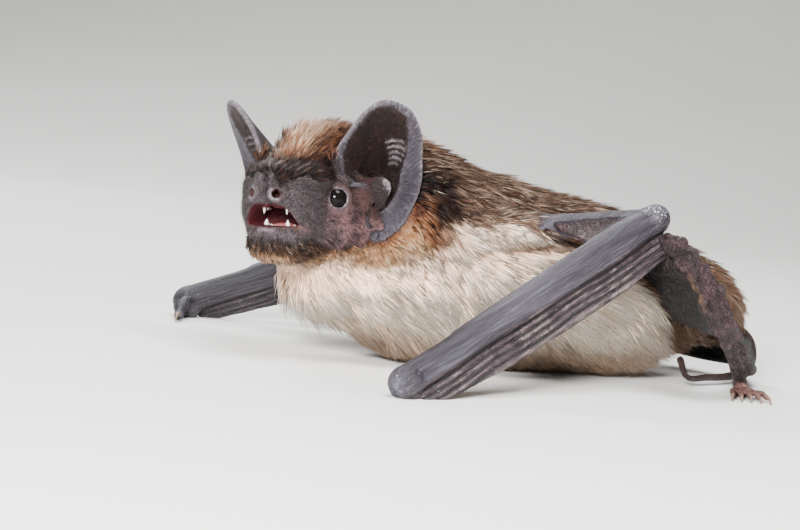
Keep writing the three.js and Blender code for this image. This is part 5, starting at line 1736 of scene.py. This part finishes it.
def fur_material(name):
    """Hair that runs from a dark root to its own tip, with its shine across the strands."""
    if name in FINISHES:
        return FINISHES[name]
    material, wire, shader, place = new_material(name)
    along_hair = attribute(wire, "along", "Fac")
    share = wire.ramp(along_hair, 0.3, 1.0)
    colour = wire.blend(share, attribute(wire, "root_tint", "Color"), attribute(wire, "tip_tint", "Color"))
    colour = wire.use(EFFECTS["mottle"], Vector=place, Tint=colour, Per_mm=2.2, Depth=0.22)
    wire.join(colour, shader.inputs["Base Color"])
    shader.inputs["Roughness"].default_value = 0.6
    shader.inputs["Specular IOR Level"].default_value = 0.22
    FINISHES[name] = material
    return material


def under_coat_material():
    material, wire, shader, place = new_material("under_coat")
    colour = wire.use(EFFECTS["mottle"], Vector=place, Tint=attribute(wire, "tint", "Color"), Per_mm=2.5,
                      Depth=0.5)
    wire.join(colour, shader.inputs["Base Color"])
    shader.inputs["Roughness"].default_value = 0.8
    shader.inputs["Specular IOR Level"].default_value = 0.15
    height = wire.use(EFFECTS["creases"], Lay=place, Place=place, Creases_per_mm=2.0, Depth=0.6,
                      Grain_per_mm=7.0, Grain_depth=0.5)
    wire.join(wire.put("Bump", Strength=1.0, Distance=0.15 * MM, Height=height), shader.inputs["Normal"])
    return material


def eye_material():
    material, wire, shader, place = new_material("eye")
    colour = wire.use(EFFECTS["mottle"], Vector=place, Tint=(0.004, 0.003, 0.003, 1), Per_mm=1.5, Depth=0.6)
    wire.join(colour, shader.inputs["Base Color"])
    shader.inputs["Roughness"].default_value = 0.08
    shader.inputs["Specular IOR Level"].default_value = 0.1
    return material


def horn_material(name, tint, roughness):
    """Claws, teeth and tongue: smooth, lightly streaked and faintly translucent."""
    material, wire, shader, place = new_material(name)
    wire.join(wire.use(EFFECTS["mottle"], Vector=place, Tint=tint, Per_mm=2.0, Depth=0.35),
              shader.inputs["Base Color"])
    height = wire.use(EFFECTS["creases"], Lay=place, Place=place, Creases_per_mm=3.0, Depth=0.3,
                      Grain_per_mm=8.0, Grain_depth=0.2)
    wire.join(wire.put("Bump", Strength=1.0, Distance=0.02 * MM, Height=height), shader.inputs["Normal"])
    shader.inputs["Roughness"].default_value = roughness
    shader.inputs["Subsurface Weight"].default_value = 0.1
    shader.inputs["Subsurface Radius"].default_value = (0.0005, 0.0004, 0.0003)
    return material


# ---- eyes, claws, teeth and tongue ----

def ball_mesh(name, centre, radii, ways, rows=22, columns=36):
    """A smooth ball with its poles along the first way."""
    tilt = np.linspace(0, math.pi, rows + 1)[1:-1]
    turn = np.linspace(0, 2 * math.pi, columns, endpoint=False)
    tilt, turn = np.meshgrid(tilt, turn, indexing="ij")
    local = np.stack([np.cos(tilt), np.sin(tilt) * np.cos(turn), np.sin(tilt) * np.sin(turn)],
                     -1).reshape(-1, 3)
    local = np.concatenate([local, [(1, 0, 0), (-1, 0, 0)]]) * radii
    faces = []
    first, last = len(local) - 2, len(local) - 1
    for i in range(rows - 2):
        for j in range(columns):
            a, b = i * columns + j, i * columns + (j + 1) % columns
            faces += [(a, a + columns, b + columns), (a, b + columns, b)]
    for j in range(columns):
        after = (j + 1) % columns
        faces.append((first, j, after))
        faces.append((last, (rows - 2) * columns + after, (rows - 2) * columns + j))
    points = local @ np.asarray(ways)
    faces = np.array(faces)
    return fill_mesh(name, points + centre, outward_faces(points, faces))


def outward_faces(points, faces):
    corner = points[faces]
    volume = (corner[:, 0] * np.cross(corner[:, 1], corner[:, 2])).sum()
    return faces if volume > 0 else faces[:, ::-1]


def spike_mesh(name, spikes, columns=10):
    """Closed tapering horns: each a list of middle points and radii, the last radius near nothing."""
    points, faces = [], []
    for path, radii in spikes:
        rings = len(radii)
        middle = along(path, np.linspace(0, 1, rings))
        way = unit(np.gradient(middle, axis=0))
        aside = unit(np.cross(way, (0.3, 0.2, 0.9)))
        up = np.cross(way, aside)
        turn = np.linspace(0, 2 * math.pi, columns, endpoint=False)
        start = sum(len(block) for block in points)
        ring = (middle[:, None] + aside[:, None] * np.cos(turn)[None, :, None]
                * np.asarray(radii)[:, None, None]
                + up[:, None] * np.sin(turn)[None, :, None] * np.asarray(radii)[:, None, None])
        points.append(np.concatenate([ring.reshape(-1, 3), middle[:1], middle[-1:]]))
        last = rings * columns
        for i in range(rings - 1):
            for j in range(columns):
                a, b = i * columns + j, i * columns + (j + 1) % columns
                faces += [(start + a, start + b, start + b + columns),
                          (start + a, start + b + columns, start + a + columns)]
        for j in range(columns):
            after = (j + 1) % columns
            faces.append((start + last, start + after, start + j))
            faces.append((start + last + 1, start + last - columns + j, start + last - columns + after))
    points = np.concatenate(points)
    return fill_mesh(name, points, outward_faces(points - points.mean(0), np.array(faces)))


def finish_piece(mesh, material, slot, *nodes):
    """The mesh as a finished piece of the row, in place of the solids it replaces, if any."""
    if material:
        mesh.materials.append(material)
    piece = make_object(mesh)
    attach(piece, "root")
    if nodes:
        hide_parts(*nodes)
    return piece


def make_eyes():
    for side, word in ((1, "left"), (-1, "right")):
        look = unit(mirror(EYE_LOOK, side))
        aside = unit(np.cross((0, 0, 1), look))
        ways = np.array([look, aside, np.cross(look, aside)]) @ HEAD
        mesh = ball_mesh(f"{word}_eyeball", from_head(eye_centre(side)), (EYE["radius"],) * 3, ways)
        finish_piece(mesh, FINISHES["eye"], "eye", f"{word}_eye")


TOE_CLAW, THUMB_CLAW, CLAW_LOWEST = 1.75, 2.0, 0.03      # lengths, and how near the floor a claw comes


def claw(root, way, length, thick):
    """A claw that leaves its toe along a level way and hooks down to the floor."""
    way = unit(way)
    path = [root, root + way * length * 0.45 + (0, 0, 0.12 * length), root + way * length * 0.85
            + (0, 0, -0.08 * length), root + way * length + (0, 0, CLAW_LOWEST - root[2])]
    path = [np.maximum(point, (-np.inf, -np.inf, CLAW_LOWEST)) for point in path]
    return path, np.array((1, 0.92, 0.8, 0.66, 0.5, 0.34, 0.18, 0.04)) * thick


def make_claws():
    for side, word in ((1, "left"), (-1, "right")):
        limb = LIMBS[side]
        spikes = []
        for *_, knuckle, end in toe_paths(limb):
            spikes.append(claw(end - (end - knuckle) * 0.3, end - knuckle, TOE_CLAW, 0.23))
        finish_piece(spike_mesh(f"{word}_toe_claws", spikes), FINISHES["claw"], "claw")
        x, y = limb["thumb"]
        wrist = np.array(limb["wrist"])
        root = np.array([wrist[0] + x * 5.6, wrist[1] + y * 5.6, 0.75])
        thumb = spike_mesh(f"{word}_thumb_claw_horn", [claw(root, (x, y, 0), THUMB_CLAW, 0.34)])
        finish_piece(thumb, FINISHES["claw"], "claw", f"{word}_thumb_claw")


LOWER_GUM, UPPER_GUM = -3.75, -1.55      # where the small teeth of each jaw stand, in the head frame


def tooth(f, l, u, height, thick, lean=(0.1, 0.0)):
    root = np.array([f, l, u])
    tip = root + (lean[0] * height, lean[1] * height, height)
    path = from_head([root, (root + tip) / 2 + (0.05 * height, 0, 0), tip])
    return path, np.array((1, 1.02, 0.95, 0.78, 0.5, 0.12)) * thick


def make_teeth_and_tongue():
    upper, lower = [], []
    for side in (1, -1):
        lower.append(tooth(4.75, side * 1.45, LOWER_GUM, height=0.95, thick=0.27, lean=(0.1, -side * 0.08)))
        upper.append(tooth(5.25, side * 1.5, -1.45, height=-0.8, thick=0.17, lean=(-0.02, 0)))
        for number in range(3):
            across = side * (0.18 + 0.3 * number)
            lower.append(tooth(5.35 - 0.14 * number, across, LOWER_GUM, height=0.36, thick=0.14))
        for number in range(4):
            f = 4.1 - 0.7 * number
            across = side * (1.85 + 0.2 * number)
            lower.append(tooth(f, across, LOWER_GUM, height=0.45 - 0.03 * number, thick=0.26))
            across = side * (2.0 + 0.2 * number)
            upper.append(tooth(f - 0.1, across, UPPER_GUM, height=-0.35, thick=0.22))
    finish_piece(spike_mesh("lower_teeth", lower, columns=8), FINISHES["tooth"], "tooth")
    finish_piece(spike_mesh("upper_teeth", upper, columns=8), FINISHES["tooth"], "tooth")
    tongue = ball_mesh("tongue_flesh", from_head((3.3, 0, -3.65)), (1.9, 1.3, 0.5), HEAD, rows=18,
                       columns=28)
    finish_piece(tongue, FINISHES["tongue"], "tongue", "tongue")


# ---- stage ----

def make_stage():
    """A pale floor that curves up into a backdrop, soft lights and a faint light from the world."""
    front, flat_end, curve, top, half_width = -0.9, 0.25, 0.35, 1.2, 1.5
    rows = [(front, 0.0), (flat_end, 0.0)]
    rows += [(flat_end + curve * math.sin(turn), curve * (1 - math.cos(turn)))
             for turn in np.linspace(0.1, math.pi / 2, 14)]
    rows += [(flat_end + curve, top)]
    right, up, toward = camera_ways()
    back = -toward * (1, 1, 0)
    back /= np.linalg.norm(back)
    aside = np.array([-back[1], back[0], 0])
    points = [back * reach + aside * half + (0, 0, height) for reach, height in rows
              for half in (-half_width, half_width)]
    faces = [(2 * i, 2 * i + 1, 2 * i + 3, 2 * i + 2) for i in range(len(rows) - 1)]
    mesh = bpy.data.meshes.new("floor_and_backdrop")
    mesh.from_pydata([tuple(point) for point in points], [], faces)
    mesh.polygons.foreach_set("use_smooth", [True] * len(faces))
    floor = make_object(mesh)
    material, wire, shader, place = new_material("pale_floor")
    wire.join(wire.use(EFFECTS["mottle"], Vector=place, Tint=(0.74, 0.73, 0.71, 1), Per_mm=0.02, Depth=0.03),
              shader.inputs["Base Color"])
    shader.inputs["Roughness"].default_value = 0.9
    mesh.materials.append(material)
    # Each lamp's name, place and size in metres, and power in watts.
    lamps = [("key_light", toward * 0.3 - right * 0.06 + up * 0.1, 0.07, 3.3),
             ("top_light", toward * 0.12 + right * 0.08 + up * 0.3, 0.16, 1.9),
             ("back_light", -toward * 0.2 - right * 0.1 + up * 0.26, 0.15, 1.2)]
    for name, at, size, power in lamps:
        data = bpy.data.lights.new(name, "AREA")
        data.size, data.energy = size, power
        lamp = bpy.data.objects.new(name, data)
        lamp.location = at
        lamp.rotation_euler = (Vector((0, 0, 0.01)) - Vector(at)).to_track_quat("-Z", "Y").to_euler()
        bpy.context.scene.collection.objects.link(lamp)
    world = bpy.data.worlds.new("studio")
    world.use_nodes = True
    backdrop = world.node_tree.nodes["Background"]
    backdrop.inputs["Color"].default_value = (0.94, 0.94, 0.95, 1)
    backdrop.inputs["Strength"].default_value = 0.24
    bpy.context.scene.world = world


def camera_ways():
    """The camera's right, up and back."""
    turn, lift, roll = (math.radians(angle) for angle in CAMERA["angles"])
    back = np.array([math.sin(turn) * math.cos(lift), -math.cos(turn) * math.cos(lift), math.sin(lift)])
    level = np.array([math.cos(turn), math.sin(turn), 0])
    upright = np.cross(back, level)
    right = level * math.cos(roll) + upright * math.sin(roll)
    return right, upright * math.cos(roll) - level * math.sin(roll), back


def make_camera():
    right, up, back = camera_ways()
    data = bpy.data.cameras.new("camera")
    data.lens, data.sensor_width = CAMERA["lens"], 36
    data.clip_start, data.clip_end = 0.01, 5
    camera = bpy.data.objects.new("camera", data)
    bpy.context.scene.collection.objects.link(camera)
    place = Matrix((right, up, back)).transposed().to_4x4()
    place.translation = Vector((np.array(CAMERA["target"]) + SHIFT + back * CAMERA["reach"]) * MM)
    camera.matrix_world = place
    bpy.context.scene.camera = camera


# ---- the bat ----

EFFECTS = {"mottle": mottle_group(), "creases": crease_group(), "flecks": dust_group()}
FINISHES = {
    "under_coat": under_coat_material(),
    "face_skin": skin_material("face_skin", creases=2.6, grain=5.0, roughness=0.5, relief=0.2,
                               crease_depth=0.9, grain_depth=0.9, mottle=0.6),
    "ear_skin": skin_material("ear_skin", creases=2.4, grain=6.0, roughness=0.5, relief=0.25, mottle=0.75),
    "wing_skin": skin_material("wing_skin", creases=1.9, grain=6.0, roughness=0.5, relief=0.2,
                               grain_depth=0.5),
    "membrane_skin": skin_material("membrane_skin", creases=1.5, grain=4.0, roughness=0.55, relief=0.4,
                                   grain_depth=0.7, mottle=0.6),
    "toe_skin": skin_material("toe_skin", creases=2.4, grain=6.0, roughness=0.5, relief=0.1),
    "eye": eye_material(),
    "claw": horn_material("claw", tint=(0.16, 0.10, 0.07, 1), roughness=0.35),
    "tooth": horn_material("tooth", tint=(0.78, 0.74, 0.66, 1), roughness=0.2),
    "tongue": horn_material("tongue", tint=(0.42, 0.12, 0.11, 1), roughness=0.3),
}
make_stage()
make_camera()
make_eyes()
make_claws()
make_teeth_and_tongue()
clay = make_clay()
hide = skin_mesh(clay)
dress_skin(clay, hide)
for name in SKIN_FINISHES:
    hide.materials.append(FINISHES[name])
skin_piece = make_object(hide)
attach(skin_piece, "root")
separate = ("left_eye", "right_eye", "left_thumb_claw", "right_thumb_claw", "tongue")
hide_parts(*[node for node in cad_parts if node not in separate])
make_coat(clay, hide)
make_stubble(clay, hide)
